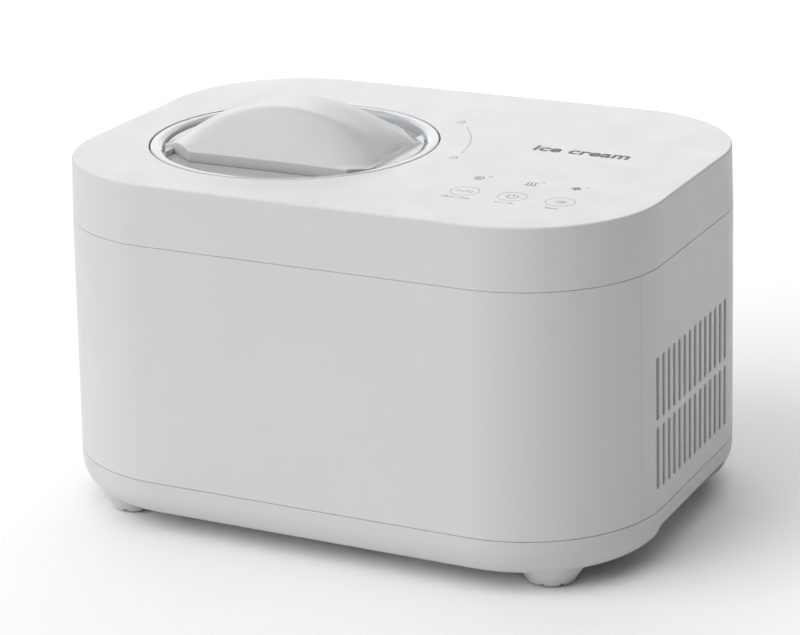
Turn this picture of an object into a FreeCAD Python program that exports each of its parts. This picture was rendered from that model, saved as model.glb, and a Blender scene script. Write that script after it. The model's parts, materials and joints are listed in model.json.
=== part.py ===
import FreeCAD, Part
import math
import os
import Sketcher

# A worktop compressor ice cream maker. Millimetres, +Z up, origin on the floor under the middle of
# the case, front face towards -Y, lid towards -X.

DIMENSIONS = {
    # case
    "case_width": 390, "case_depth": 284, "corner_radius": 87.7,
    "top_height": 227.5, "seam_high": 189.2, "seam_low": 36.4, "under_height": 10.2,
    "top_inset": 1.5, "body_flare": 2.44, "wall": 2.5, "tongue": 1.5, "tongue_drop": 5,
    "base_fillet": 19.5, "edge_round": 1.2, "shell_seam": -80.2,
    "slot_width": 4.2, "slot_pitch": 9, "slot_first": -62.2, "slot_count": 14, "slot_length": 39.8,
    "slot_low": 50.4, "slot_high": 94.6,
    "foot_reach": 144.5, "foot_spread": 103, "foot_radius": 23, "foot_tip": 15.5, "foot_bottom": 1.3,
    "foot_root": 16, "pad_radius": 12, "pad_depth": 1.8,
    "intake_rise": 14.8, "intake_inner": 162, "intake_front": -57.5, "intake_back": 55.5,
    "latch_x": 22, "latch_y": -115.5, "latch_width": 20, "latch_depth": 9, "latch_drop": 3.5,
    "plug_x": 64, "plug_y": -88, "plug_radius": 10,
    "post_reach": 100, "post_spread": 116, "post_radius": 4.5, "post_top": 62, "screw_radius": 1.6,
    "head_radius": 3.8, "head_height": 2, "screw_reach": 16,
    # lid and its opening
    "bowl_x": -69.1, "bowl_y": -13.2, "hole_radius": 92.3, "ledge_radius": 82, "ledge_top": 212.4,
    "ledge_thick": 2.4, "lid_radius": 91.5, "window_radius": 83.3, "window_seat": 78,
    "window_top": 221.6, "window_thick": 3, "seal_height": 1.5,
    "plate_radius": 82, "plate_half": 52.3, "plate_drop": 2.5, "facet_x": 66.5, "facet_y": 37.5,
    "facet_front": 47, "notch_x": 65, "notch_y": 29.5, "notch_front": 38, "arch_half": 20,
    "arch_height": 25.8, "arch_radius": 115, "arch_edge": 0.9, "arch_far": 62.5, "hollow_half": 17,
    "hollow_drop": 3.2, "handle_screw_x": 50,
    # bowl, paddle and drive shaft
    "bowl_radius": 74.5, "bowl_wall": 1.2, "bowl_bottom": 94.5, "rim_radius": 80, "rim_thick": 1.4,
    "tube_radius": 12, "tube_top": 150, "shaft_radius": 5, "shaft_bottom": 48.5, "shaft_top": 168,
    "drive_start": 156, "drive_radius": 4.4, "fit_gap": 0.03, "free_gap": 0.4,
    "hub_radius": 17, "hub_bore": 13, "hub_bottom": 99, "hub_top": 172, "bush_top": 155,
    "blade_reach": 71.5, "blade_thick": 3, "blade_low": 97.5, "blade_high": 198,
    # cooling well
    "well_radius": 76, "well_wall": 1.5, "well_bottom": 92, "flange_top": 208.5, "flange_radius": 90,
    "gasket_inner": 83, "coil_radius": 81.6, "coil_tube": 3.5, "coil_low": 105, "coil_pitch": 17,
    "foam_inner": 86.5, "foam_outer": 100, "foam_bottom": 84.5, "seal_radius": 9,
    "sensor_radius": 3,
    # gearbox and motor
    "box_bottom": 50, "box_split": 66, "box_top": 82, "box_wall": 2, "box_half": 47, "box_front": -47,
    "box_back": 86, "box_corner": 22, "boss_radius": 11, "bush_radius": 8,
    "gear_module": 1.25, "fast_module": 0.8, "small_teeth": 17, "large_teeth": 68, "backlash": 0.22,
    "output_low": 54, "output_face": 7, "fast_low": 64, "fast_face": 5, "pin_radius": 3,
    "motor_radius": 24, "motor_bottom": 14.5, "rotor_radius": 15, "rotor_low": 20, "rotor_high": 43,
    "motor_shaft": 2,
    # compressor, fan and condenser
    "comp_x": 88, "comp_y": 15, "comp_radius": 50, "comp_wall": 3, "comp_bottom": 26.5,
    "comp_split": 95, "comp_top": 162, "comp_cone": 12, "stator_radius": 44, "rotor_gap": 0.4,
    "comp_rotor": 24, "stack_low": 45, "stack_high": 86, "crank_radius": 8, "pump_low": 94,
    "pump_high": 122, "pump_radius": 38, "plate_x": 58, "plate_y": 48, "plate_thick": 2.5,
    "grommet_radius": 8,
    "fan_x": 141, "fan_depth": 22, "fan_half": 46, "fan_z": 92, "fan_bore": 43.5, "fan_tip": 41.5,
    "fan_hub": 16, "strut": 4, "blade_count": 7,
    "cond_x": 178, "cond_half": 58, "cond_low": 47, "cond_pitch": 13, "cond_rows": 8,
    "cond_tube": 3.2, "fin_depth": 19, "fin_thick": 0.8, "fin_pitch": 5.8, "fin_count": 19,
    # pipes
    "riser_y": 88, "discharge_z": 118, "discharge_pipe": 2.6, "liquid_pipe": 2.4,
    "drier_x": 112, "drier_y": 100, "drier_radius": 8, "drier_low": 62, "drier_high": 114,
    "capillary_x": 24, "capillary_z": 136, "capillary_pipe": 1.3,
    "return_x": 22, "suction_x": 62, "suction_y": 76, "suction_z": 138, "suction_pipe": 3,
    # boards and gland
    "board_thick": 1.6, "key_radius": 8, "key_first": 79, "key_pitch": 30.5, "key_y": -78,
    "key_height": 2.4, "touch_left": 62, "touch_right": 158, "touch_front": -104, "touch_back": -36,
    "chip_x": 109, "chip_y": -53, "chip_half": 8, "plug_size": 7,
    "power_left": -90, "power_right": 10, "power_y": 118, "power_low": 56, "power_high": 132,
    "part_edge": 6, "transformer": 30, "relay": 22, "sink_x": -11, "sink_half": 3, "capacitor_x": -34,
    "gland_x": 60, "gland_z": 58, "gland_radius": 7, "gland_flange": 10, "gland_bore": 3.7,
}

doc = FreeCAD.newDocument("IceCreamMaker")
sheet = doc.addObject("Spreadsheet::Sheet", "Dims")
for row, (alias, number) in enumerate(DIMENSIONS.items(), start=1):
    sheet.set(f"A{row}", alias)
    sheet.set(f"B{row}", str(number))
    sheet.setAlias(f"B{row}", alias)
doc.recompute()

NODES = []


# ---------------------------------------------------------------- helpers

def bind(expression):
    """Write the sheet's name before every alias in an expression."""
    words = []
    word = ""
    for letter in str(expression) + " ":
        if letter.isalnum() or letter in "_.":
            word += letter
            continue
        words.append("Dims." + word if word in DIMENSIONS else word)
        words.append(letter)
        word = ""
    return "".join(words).strip()


def value(expression):
    """The number that an expression of aliases gives."""
    return float(sheet.evalExpression(bind(expression)))


def place(thing, x="0", y="0", z="0", turn=None):
    if turn:
        thing.Placement.Rotation = FreeCAD.Rotation(FreeCAD.Vector(*turn[0]), turn[1])
    for axis, expression in zip("xyz", (x, y, z)):
        thing.setExpression(f"Placement.Base.{axis}", bind(expression))


def node(thing, label):
    thing.Label = label
    NODES.append(thing)
    return thing


def new_body(name):
    return node(doc.addObject("PartDesign::Body", name.title().replace("_", "")), name)


def sketch_on(body, role="XY_Plane", offset="0"):
    sketch = body.newObject("Sketcher::SketchObject", body.Name + "Sketch")
    plane = next(item for item in body.Origin.OriginFeatures if item.Role == role)
    sketch.AttachmentSupport = [(plane, "")]
    sketch.MapMode = "FlatFace"
    sketch.setExpression("AttachmentOffset.Base.z", bind(offset))
    return sketch


def pin_point(sketch, geometry, point, x, y):
    """Hold one point of the sketch at an expression's place."""
    for kind, expression in (("DistanceX", x), ("DistanceY", y)):
        rule = Sketcher.Constraint(kind, -1, 1, geometry, point, value(expression))
        number = sketch.addConstraint(rule)
        sketch.setExpression(f"Constraints[{number}]", bind(expression))


def polygon(sketch, points):
    """A closed outline of straight lines through points given as expressions."""
    first = sketch.GeometryCount
    corners = [FreeCAD.Vector(value(x), value(y), 0) for x, y in points]
    count = len(points)
    for index, corner in enumerate(corners):
        sketch.addGeometry(Part.LineSegment(corner, corners[(index + 1) % count]), False)
    for index in range(count):
        follower = first + (index + 1) % count
        sketch.addConstraint(Sketcher.Constraint("Coincident", first + index, 2, follower, 1))
    for index, (x, y) in enumerate(points):
        pin_point(sketch, first + index, 1, x, y)


def rectangle(sketch, low_x, low_y, high_x, high_y):
    polygon(sketch, [(low_x, low_y), (high_x, low_y), (high_x, high_y), (low_x, high_y)])


def circle(sketch, x, y, radius):
    centre = FreeCAD.Vector(value(x), value(y), 0)
    shape = Part.Circle(centre, FreeCAD.Vector(0, 0, 1), value(radius))
    number = sketch.addGeometry(shape, False)
    rule = sketch.addConstraint(Sketcher.Constraint("Radius", number, value(radius)))
    sketch.setExpression(f"Constraints[{rule}]", bind(radius))
    pin_point(sketch, number, 3, x, y)


def rounded_outline(sketch, half_x, half_y, radius):
    """The case's plan: a rectangle about the origin with large round corners."""
    reach_x = value(f"({half_x}) - ({radius})")
    reach_y = value(f"({half_y}) - ({radius})")
    size = value(radius)
    up = FreeCAD.Vector(0, 0, 1)
    for number, (side_x, side_y) in enumerate([(1, 1), (-1, 1), (-1, -1), (1, -1)]):
        centre = FreeCAD.Vector(side_x * reach_x, side_y * reach_y, 0)
        start = math.radians(90 * number)
        arc = Part.ArcOfCircle(Part.Circle(centre, up, size), start, start + math.pi / 2)
        sketch.addGeometry(arc, False)
    for number in range(4):
        here, there = sketch.Geometry[number], sketch.Geometry[(number + 1) % 4]
        sketch.addGeometry(Part.LineSegment(here.EndPoint, there.StartPoint), False)
    for number in range(4):
        sketch.addConstraint(Sketcher.Constraint("Tangent", number, 2, 4 + number, 1))
        sketch.addConstraint(Sketcher.Constraint("Tangent", 4 + number, 2, (number + 1) % 4, 1))
    for number in (1, 2, 3):
        sketch.addConstraint(Sketcher.Constraint("Equal", 0, number))
    sketch.addConstraint(Sketcher.Constraint("Horizontal", 4))
    sketch.addConstraint(Sketcher.Constraint("Vertical", 5))
    sketch.addConstraint(Sketcher.Constraint("Symmetric", 0, 3, 2, 3, -1, 1))
    sizes = [
        (Sketcher.Constraint("Radius", 0, size), radius),
        (Sketcher.Constraint("DistanceX", 1, 3, 0, 3, 2 * reach_x), f"2 * (({half_x}) - ({radius}))"),
        (Sketcher.Constraint("DistanceY", 3, 3, 0, 3, 2 * reach_y), f"2 * (({half_y}) - ({radius}))"),
    ]
    for rule, expression in sizes:
        number = sketch.addConstraint(rule)
        sketch.setExpression(f"Constraints[{number}]", bind(expression))


def pad(body, sketch, length, reverse=False, middle=False, taper=None, cut=False):
    """Pad a sketch, or pocket it when cut is set."""
    kind = "Pocket" if cut else "Pad"
    feature = body.newObject("PartDesign::" + kind, body.Name + kind)
    feature.Profile = sketch
    feature.Reversed = reverse
    feature.Midplane = middle
    feature.setExpression("Length", bind(length))
    if taper:
        feature.setExpression("TaperAngle", bind(taper))
    return feature


def spin(body, sketch, cut=False):
    kind = "Groove" if cut else "Revolution"
    feature = body.newObject("PartDesign::" + kind, body.Name + kind)
    feature.Profile = sketch
    feature.ReferenceAxis = (sketch, ["V_Axis"])
    feature.Angle = 360
    return feature


def turned(label, points, x="0", y="0", z="0", turn=None):
    """A piece turned about its own Z axis from a (radius, height) outline."""
    body = new_body(label)
    sketch = sketch_on(body, "XZ_Plane")
    polygon(sketch, points)
    spin(body, sketch)
    place(body, x, y, z, turn)
    return body


def ring(label, inner, outer, low, high, x="0", y="0", z="0", turn=None):
    points = [(inner, low), (outer, low), (outer, high), (inner, high)]
    return turned(label, points, x, y, z, turn)


def round_edges(body, radius, wanted):
    """Fillet the edges of the body's tip that the test picks."""
    doc.recompute()
    tip = body.Tip
    names = [f"Edge{n}" for n, edge in enumerate(tip.Shape.Edges, start=1) if wanted(edge)]
    feature = body.newObject("PartDesign::Fillet", body.Name + "Fillet")
    feature.Base = (tip, names)
    feature.setExpression("Radius", bind(radius))


def at_height(height):
    """Edges that lie flat at one height."""
    level = value(height)
    return lambda edge: max(abs(edge.BoundBox.ZMin - level), abs(edge.BoundBox.ZMax - level)) < 0.01


def upright(edge):
    return abs(edge.BoundBox.ZLength - edge.Length) < 0.01


def block(name, low, high):
    """A box between two corners given as expressions."""
    box = doc.addObject("Part::Box", name)
    for side, start, end in zip(("Length", "Width", "Height"), low, high):
        box.setExpression(side, bind(f"({end}) - ({start})"))
    place(box, *low)
    return box


def rod(name, radius, length, x, y, z, turn=None):
    """A cylinder, along Z unless it is turned."""
    cylinder = doc.addObject("Part::Cylinder", name)
    cylinder.setExpression("Radius", bind(radius))
    cylinder.setExpression("Height", bind(length))
    place(cylinder, x, y, z, turn)
    return cylinder


def join(name, pieces):
    joined = doc.addObject("Part::MultiFuse", name)
    joined.Shapes = pieces
    return joined


def group(label, pieces):
    """Identical separate solids that share one node."""
    together = doc.addObject("Part::Compound", label.title().replace("_", ""))
    together.Links = pieces
    return node(together, label)


def minus(name, base, tool):
    difference = doc.addObject("Part::Cut", name)
    difference.Base = base
    difference.Tool = tool
    return difference


# ---------------------------------------------------------------- case

HALF_X = "case_width / 2"
HALF_Y = "case_depth / 2"
LOW_X = "case_width / 2 + body_flare"
LOW_Y = "case_depth / 2 + body_flare"
FLOOR = "under_height + wall"
CORNERS = [(-1, -1), (1, -1), (1, 1), (-1, 1)]


def top_cover():
    body = new_body("top_cover")
    outer = sketch_on(body, offset="seam_high")
    rounded_outline(outer, HALF_X, HALF_Y, "corner_radius")
    lean = "-atan(top_inset / (top_height - seam_high))"
    pad(body, outer, "top_height - seam_high", taper=lean)
    round_edges(body, "edge_round", at_height("top_height"))
    lip = sketch_on(body, offset="seam_high")
    rounded_outline(lip, HALF_X + " - wall - 0.1", HALF_Y + " - wall - 0.1", "corner_radius - wall - 0.1")
    pad(body, lip, "tongue_drop", reverse=True)
    inside = sketch_on(body, offset="seam_high - tongue_drop")
    inset = " - wall - tongue"
    rounded_outline(inside, HALF_X + inset, HALF_Y + inset, "corner_radius" + inset)
    pad(body, inside, "top_height - seam_high + tongue_drop - wall", reverse=True, cut=True)
    collar = sketch_on(body, offset="ledge_top - ledge_thick")
    circle(collar, "bowl_x", "bowl_y", "hole_radius + wall")
    pad(body, collar, "top_height - ledge_top + ledge_thick - wall / 2")
    opening = sketch_on(body, offset="top_height")
    circle(opening, "bowl_x", "bowl_y", "hole_radius")
    pad(body, opening, "top_height - ledge_top", cut=True)
    throat = sketch_on(body, offset="top_height")
    circle(throat, "bowl_x", "bowl_y", "ledge_radius")
    pad(body, throat, "top_height - ledge_top + 2 * ledge_thick", cut=True)
    return body


def side_ring(label):
    """The tapered ring of wall between the two seams, before it is split front and rear."""
    body = new_body(label)
    lean = "-atan(body_flare / (seam_high - seam_low))"
    outer = sketch_on(body, offset="seam_low")
    rounded_outline(outer, LOW_X, LOW_Y, "corner_radius + body_flare")
    pad(body, outer, "seam_high - seam_low", taper=lean)
    inner = sketch_on(body, offset="seam_low")
    rounded_outline(inner, LOW_X + " - wall", LOW_Y + " - wall", "corner_radius + body_flare - wall")
    pad(body, inner, "seam_high - seam_low", reverse=True, taper=lean, cut=True)
    return body


def screw_posts(body, side):
    """Two posts with ribs to the wall, which take the screws from below."""
    ribs = sketch_on(body, offset="seam_low + wall")
    posts = sketch_on(body, offset=FLOOR)
    holes = sketch_on(body, offset=FLOOR)
    for hand in (-1, 1):
        x = f"{hand} * post_reach"
        y = f"{side} * post_spread"
        wall_y = f"{side} * (case_depth / 2 + wall / 4)"
        near, far = sorted([y, wall_y], key=value)
        rectangle(ribs, x + " - 1", near, x + " + 1", far)
        circle(posts, x, y, "post_radius")
        circle(holes, x, y, "screw_radius")
    pad(body, ribs, "post_top - seam_low - wall")
    pad(body, posts, f"post_top - ({FLOOR})")
    pad(body, holes, "screw_reach", reverse=True, cut=True)


def front_shell():
    body = side_ring("front_shell")
    cutter = sketch_on(body, offset="seam_low")
    rectangle(cutter, "-case_width", "shell_seam", "case_width", "case_depth")
    pad(body, cutter, "seam_high - seam_low", reverse=True, cut=True)
    screw_posts(body, -1)
    return body


def slot(sketch, x, low, high):
    """An upright slot with round ends."""
    half = value("slot_width") / 2
    middle, bottom, top = value(x), value(low) + half, value(high) - half
    across, up = FreeCAD.Vector(half, 0, 0), FreeCAD.Vector(0, 0, 1)
    lower, upper = FreeCAD.Vector(middle, bottom, 0), FreeCAD.Vector(middle, top, 0)
    first = sketch.GeometryCount
    sketch.addGeometry(Part.ArcOfCircle(Part.Circle(lower, up, half), math.pi, 2 * math.pi), False)
    sketch.addGeometry(Part.LineSegment(lower + across, upper + across), False)
    sketch.addGeometry(Part.ArcOfCircle(Part.Circle(upper, up, half), 0, math.pi), False)
    sketch.addGeometry(Part.LineSegment(upper - across, lower - across), False)
    for step in range(4):
        following = first + (step + 1) % 4
        sketch.addConstraint(Sketcher.Constraint("Tangent", first + step, 2, following, 1))
    sketch.addConstraint(Sketcher.Constraint("Vertical", first + 1))
    rule = sketch.addConstraint(Sketcher.Constraint("Radius", first, half))
    sketch.setExpression(f"Constraints[{rule}]", bind("slot_width / 2"))
    pin_point(sketch, first, 3, x, f"{low} + slot_width / 2")
    rule = sketch.addConstraint(Sketcher.Constraint("DistanceY", first, 3, first + 2, 3, top - bottom))
    sketch.setExpression(f"Constraints[{rule}]", bind(f"({high}) - ({low}) - slot_width"))


def rear_shell():
    """Sides and back, with two rows of vents in each side and the gland's hole in the back."""
    body = side_ring("rear_shell")
    cutter = sketch_on(body, offset="seam_low")
    rectangle(cutter, "-case_width", "-case_depth", "case_width", "shell_seam")
    pad(body, cutter, "seam_high - seam_low", reverse=True, cut=True)
    screw_posts(body, 1)
    vents = sketch_on(body, "YZ_Plane")
    for low in ("slot_low", "slot_high"):
        slot(vents, "slot_first", low, f"{low} + slot_length")
    cut = pad(body, vents, "2 * case_width", middle=True, cut=True)
    rows = body.newObject("PartDesign::LinearPattern", "VentRows")
    rows.Originals = [cut]
    rows.Direction = (vents, ["H_Axis"])
    rows.setExpression("Length", bind("slot_pitch * (slot_count - 1)"))
    rows.setExpression("Occurrences", bind("slot_count"))
    body.Tip = rows
    gland = sketch_on(body, "XZ_Plane", "-case_depth / 2 - 2 * wall")
    circle(gland, "gland_x", "gland_z", "gland_radius")
    pad(body, gland, "4 * wall", reverse=True, cut=True)
    return body


def base_tray():
    body = new_body("base_tray")
    outer = sketch_on(body, offset="seam_low")
    rounded_outline(outer, LOW_X, LOW_Y, "corner_radius + body_flare")
    pad(body, outer, "seam_low - under_height", reverse=True)
    inside = sketch_on(body, offset="seam_low")
    rounded_outline(inside, LOW_X + " - wall", LOW_Y + " - wall", "corner_radius + body_flare - wall")
    pad(body, inside, "seam_low - under_height - wall", cut=True)
    round_edges(body, "base_fillet - wall", at_height(FLOOR))
    cover = sketch_on(body, offset=FLOOR + " + intake_rise")
    rectangle(cover, "intake_inner - wall", "intake_front - wall", HALF_X, "intake_back + wall")
    pad(body, cover, "intake_rise + wall / 2", reverse=True)
    round_edges(body, "base_fillet", at_height("under_height"))
    intake = sketch_on(body, offset="under_height")
    rectangle(intake, "intake_inner", "intake_front", "case_width", "intake_back")
    pad(body, intake, "intake_rise", reverse=True, cut=True)
    feet = sketch_on(body, offset="foot_root")
    pads = sketch_on(body, offset="foot_bottom")
    for side_x, side_y in CORNERS:
        circle(feet, f"{side_x} * foot_reach", f"{side_y} * foot_spread", "foot_radius")
        circle(pads, f"{side_x} * foot_reach", f"{side_y} * foot_spread", "pad_radius")
    drop = "foot_root - foot_bottom"
    pad(body, feet, drop, reverse=True, taper=f"-atan((foot_radius - foot_tip) / ({drop}))")
    pad(body, pads, "pad_depth", reverse=True, cut=True)
    latch = sketch_on(body, offset="under_height")
    rectangle(latch, "latch_x - latch_width / 2", "latch_y - latch_depth / 2",
              "latch_x + latch_width / 2", "latch_y + latch_depth / 2")
    circle(latch, "plug_x", "plug_y", "plug_radius")
    pad(body, latch, "latch_drop", reverse=True)
    holes = sketch_on(body, offset="under_height")
    for side_x, side_y in CORNERS:
        circle(holes, f"{side_x} * post_reach", f"{side_y} * post_spread", "screw_radius + 0.5")
    pad(body, holes, "2 * wall", reverse=True, cut=True)
    return body


def foot_pads():
    height = "foot_bottom + pad_depth"
    pieces = []
    for number, (side_x, side_y) in enumerate(CORNERS, start=1):
        x, y = f"{side_x} * foot_reach", f"{side_y} * foot_spread"
        pieces.append(rod(f"FootPad{number}", "pad_radius", height, x, y, "0"))
    group("foot_pads", pieces)


def screw(name, length, x, y, z):
    """A pan-head screw driven upwards: z is the face that its head bears on."""
    shank = rod(name + "Shank", "screw_radius", length, x, y, z)
    cap = rod(name + "Head", "head_radius", "head_height", x, y, f"({z}) - head_height")
    return join(name, [shank, cap])


def case_screws():
    pieces = []
    for number, (side_x, side_y) in enumerate(CORNERS, start=1):
        x, y = f"{side_x} * post_reach", f"{side_y} * post_spread"
        pieces.append(screw(f"CaseScrew{number}", "14", x, y, "under_height"))
    group("case_screws", pieces)


def cord_gland():
    """A strain-relief ring with its flange inside the rear wall; the nose ends flush outside."""
    wall_in = "case_depth / 2 + body_flare * (seam_high - gland_z) / (seam_high - seam_low) - wall"
    turned("cord_gland", [
        ("gland_bore", "-6"), ("gland_flange", "-6"), ("gland_flange", "-0.2"),
        ("gland_radius", "-0.2"), ("gland_radius", "wall"), ("gland_bore", "wall"),
    ], "gland_x", wall_in, "gland_z", ((1, 0, 0), -90))


# ---------------------------------------------------------------- lid

def bowl_axis(label, points):
    return turned(label, points, "bowl_x", "bowl_y")


def lid_ring():
    low = "ledge_top + seal_height + 0.1"
    bowl_axis("lid_ring", [
        ("window_seat", low), ("lid_radius", low), ("lid_radius", "top_height"),
        ("window_radius + 0.1", "top_height"), ("window_radius + 0.1", "window_top - window_thick"),
        ("window_seat", "window_top - window_thick"),
    ])


def lid_window():
    body = new_body("lid_window")
    disc = sketch_on(body, offset="window_top - window_thick")
    circle(disc, "0", "0", "window_radius")
    for side in (-1, 1):
        circle(disc, f"{side} * handle_screw_x", "0", "screw_radius + 0.5")
    pad(body, disc, "window_thick")
    place(body, "bowl_x", "bowl_y")


def lid_seal():
    low = "ledge_top + 0.1"
    high = "ledge_top + 0.1 + seal_height"
    bowl_axis("lid_seal", [
        ("ledge_radius + 2", low), ("lid_radius - 1.5", low), ("lid_radius - 3", high),
        ("ledge_radius + 3.5", high),
    ])


def vault_section(sketch, rise, half):
    """A low arch over a straight chord: rise at the middle, half its chord each way."""
    tall, reach, base = value(rise), value(half), value("top_height")
    left, right = FreeCAD.Vector(-reach, base, 0), FreeCAD.Vector(reach, base, 0)
    crown = FreeCAD.Vector(0, base + tall, 0)
    sketch.addGeometry(Part.LineSegment(left, right), False)
    sketch.addGeometry(Part.Arc(right, crown, left), False)
    sketch.addConstraint(Sketcher.Constraint("Coincident", 0, 2, 1, 1))
    sketch.addConstraint(Sketcher.Constraint("Coincident", 0, 1, 1, 2))
    pin_point(sketch, 0, 1, f"-({half})", "top_height")
    pin_point(sketch, 0, 2, half, "top_height")
    bow = value(f"(({half})^2 + ({rise})^2) / (2 * ({rise}))")
    rule = sketch.addConstraint(Sketcher.Constraint("Radius", 1, bow))
    sketch.setExpression(f"Constraints[{rule}]", bind(f"(({half})^2 + ({rise})^2) / (2 * ({rise}))"))


VAULT_HALF = "sqrt(arch_radius^2 - (arch_radius - arch_height)^2)"


def lid_handle():
    """A plate across the lid under a vault whose front and back slope down to straight edges."""
    body = new_body("lid_handle")
    disc = sketch_on(body, offset="window_top")
    circle(disc, "0", "0", "plate_radius")
    pad(body, disc, "top_height - window_top - plate_drop")
    foot = sketch_on(body, offset="window_top")
    polygon(foot, [("-arch_far", "-plate_half"), ("arch_far", "-plate_half"), (VAULT_HALF, "-arch_half"),
                   (VAULT_HALF, "arch_half"), ("arch_far", "plate_half"), ("-arch_far", "plate_half"),
                   (f"-{VAULT_HALF}", "arch_half"), (f"-{VAULT_HALF}", "-arch_half")])
    pad(body, foot, "top_height - window_top")
    middle = sketch_on(body, "XZ_Plane")
    vault_section(middle, "arch_height", VAULT_HALF)
    pad(body, middle, "2 * arch_half", middle=True)
    for side in (-1, 1):
        near = sketch_on(body, "XZ_Plane", f"{side} * arch_half")
        vault_section(near, "arch_height", VAULT_HALF)
        far = sketch_on(body, "XZ_Plane", f"{side} * plate_half")
        vault_section(far, "arch_edge", "arch_far")
        slope = body.newObject("PartDesign::AdditiveLoft", "Slope")
        slope.Profile = near
        slope.Sections = [far]
        slope.Ruled = True
    sides = sketch_on(body, offset="window_top")
    for side, cut in ((1, "facet"), (-1, "notch")):
        edge, outside = f"{-side} * plate_half", f"{-side} * (plate_radius + 5)"
        polygon(sides, [
            (f"{-side} * {cut}_x", outside), (f"{-side} * {cut}_x", f"{-side} * {cut}_y"),
            (f"{-side} * {cut}_front", edge), (f"{side} * (plate_radius + 5)", edge),
            (f"{side} * (plate_radius + 5)", outside)])
    pad(body, sides, "top_height", reverse=True, cut=True)
    hollow = sketch_on(body, offset="window_top")
    rectangle(hollow, "-handle_screw_x + 10", "-hollow_half", "handle_screw_x - 10", "hollow_half")
    depth = "top_height - window_top + arch_height - hollow_drop - 8"
    pad(body, hollow, depth, reverse=True, cut=True)
    holes = sketch_on(body, offset="window_top")
    for side in (-1, 1):
        circle(holes, f"{side} * handle_screw_x", "0", "screw_radius")
    pad(body, holes, "9", reverse=True, cut=True)
    place(body, "bowl_x", "bowl_y")


def handle_screws():
    pieces = []
    for side in (-1, 1):
        x = f"bowl_x + {side} * handle_screw_x"
        pieces.append(screw(f"HandleScrew{side + 2}", "window_thick + 8", x, "bowl_y",
                            "window_top - window_thick"))
    group("handle_screws", pieces)


# ---------------------------------------------------------------- bowl and paddle

def bowl():
    bowl_axis("bowl", [
        ("tube_radius - bowl_wall", "bowl_bottom"), ("bowl_radius", "bowl_bottom"),
        ("bowl_radius", "flange_top + 0.1"), ("rim_radius", "flange_top + 0.1"),
        ("rim_radius", "flange_top + 0.1 + rim_thick"),
        ("bowl_radius - bowl_wall", "flange_top + 0.1 + rim_thick"),
        ("bowl_radius - bowl_wall", "bowl_bottom + bowl_wall"),
        ("tube_radius", "bowl_bottom + bowl_wall"), ("tube_radius", "tube_top"),
        ("shaft_radius + 1.5", "tube_top"), ("shaft_radius + 1.5", "tube_top - bowl_wall"),
        ("tube_radius - bowl_wall", "tube_top - bowl_wall"),
    ])


def paddle_bush():
    ring("paddle_bush", "shaft_radius + 0.6", "tube_radius - 0.5", "tube_top + 0.1", "bush_top",
         "bowl_x", "bowl_y")


def hexagon(sketch, radius):
    corners = []
    for step in range(6):
        turn = 60 * step
        corners.append((f"({radius}) * cos({turn})", f"({radius}) * sin({turn})"))
    polygon(sketch, corners)


def paddle():
    """A hub over the bowl's tube with two blades, each with windows that let the mix through."""
    body = new_body("paddle")
    blades = sketch_on(body, "XZ_Plane")
    rectangle(blades, "-blade_reach", "blade_low", "blade_reach", "blade_high")
    pad(body, blades, "blade_thick", middle=True)
    hub = sketch_on(body, offset="hub_bottom")
    circle(hub, "0", "0", "hub_radius")
    pad(body, hub, "hub_top - hub_bottom")
    windows = sketch_on(body, "XZ_Plane")
    for side in (-1, 1):
        for low, high in (("108", "134"), ("144", "184")):
            near, far = sorted([f"{side} * (hub_radius + 9)", f"{side} * (blade_reach - 9)"], key=value)
            rectangle(windows, near, low, far, high)
    rectangle(windows, "-12", "hub_top + 8", "12", "blade_high + 5")
    pad(body, windows, "3 * blade_thick", middle=True, cut=True)
    bore = sketch_on(body, offset="blade_low - 1")
    circle(bore, "0", "0", "hub_bore")
    pad(body, bore, "bush_top + 0.2 - blade_low + 1", reverse=True, cut=True)
    socket = sketch_on(body, offset="bush_top")
    hexagon(socket, "drive_radius + free_gap")
    pad(body, socket, "shaft_top - bush_top + 1", reverse=True, cut=True)
    neck = sketch_on(body, offset="bush_top")
    circle(neck, "0", "0", "shaft_radius + free_gap")
    pad(body, neck, "drive_start - bush_top + 0.5", reverse=True, cut=True)
    place(body, "bowl_x", "bowl_y")


# ---------------------------------------------------------------- cooling well

def cooling_well():
    bowl_axis("cooling_well", [
        ("seal_radius", "well_bottom"), ("well_radius + well_wall", "well_bottom"),
        ("well_radius + well_wall", "flange_top - well_wall"),
        ("flange_radius", "flange_top - well_wall"), ("flange_radius", "flange_top"),
        ("well_radius", "flange_top"), ("well_radius", "well_bottom + well_wall"),
        ("seal_radius", "well_bottom + well_wall"),
    ])


def well_gasket():
    ring("well_gasket", "gasket_inner", "flange_radius", "flange_top", "ledge_top - ledge_thick",
         "bowl_x", "bowl_y")


def evaporator_coil():
    """Turns of tube about the well, joined by a riser."""
    pieces = []
    for turn in range(6):
        hoop = doc.addObject("Part::Torus", f"CoilTurn{turn + 1}")
        hoop.setExpression("Radius1", bind("coil_radius"))
        hoop.setExpression("Radius2", bind("coil_tube"))
        place(hoop, "bowl_x", "bowl_y", f"coil_low + {turn} * coil_pitch")
        pieces.append(hoop)
    pieces.append(rod("CoilRiser", "coil_tube - 0.4", "5 * coil_pitch", "bowl_x - coil_radius", "bowl_y",
                      "coil_low"))
    node(join("EvaporatorCoil", pieces), "evaporator_coil")


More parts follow.
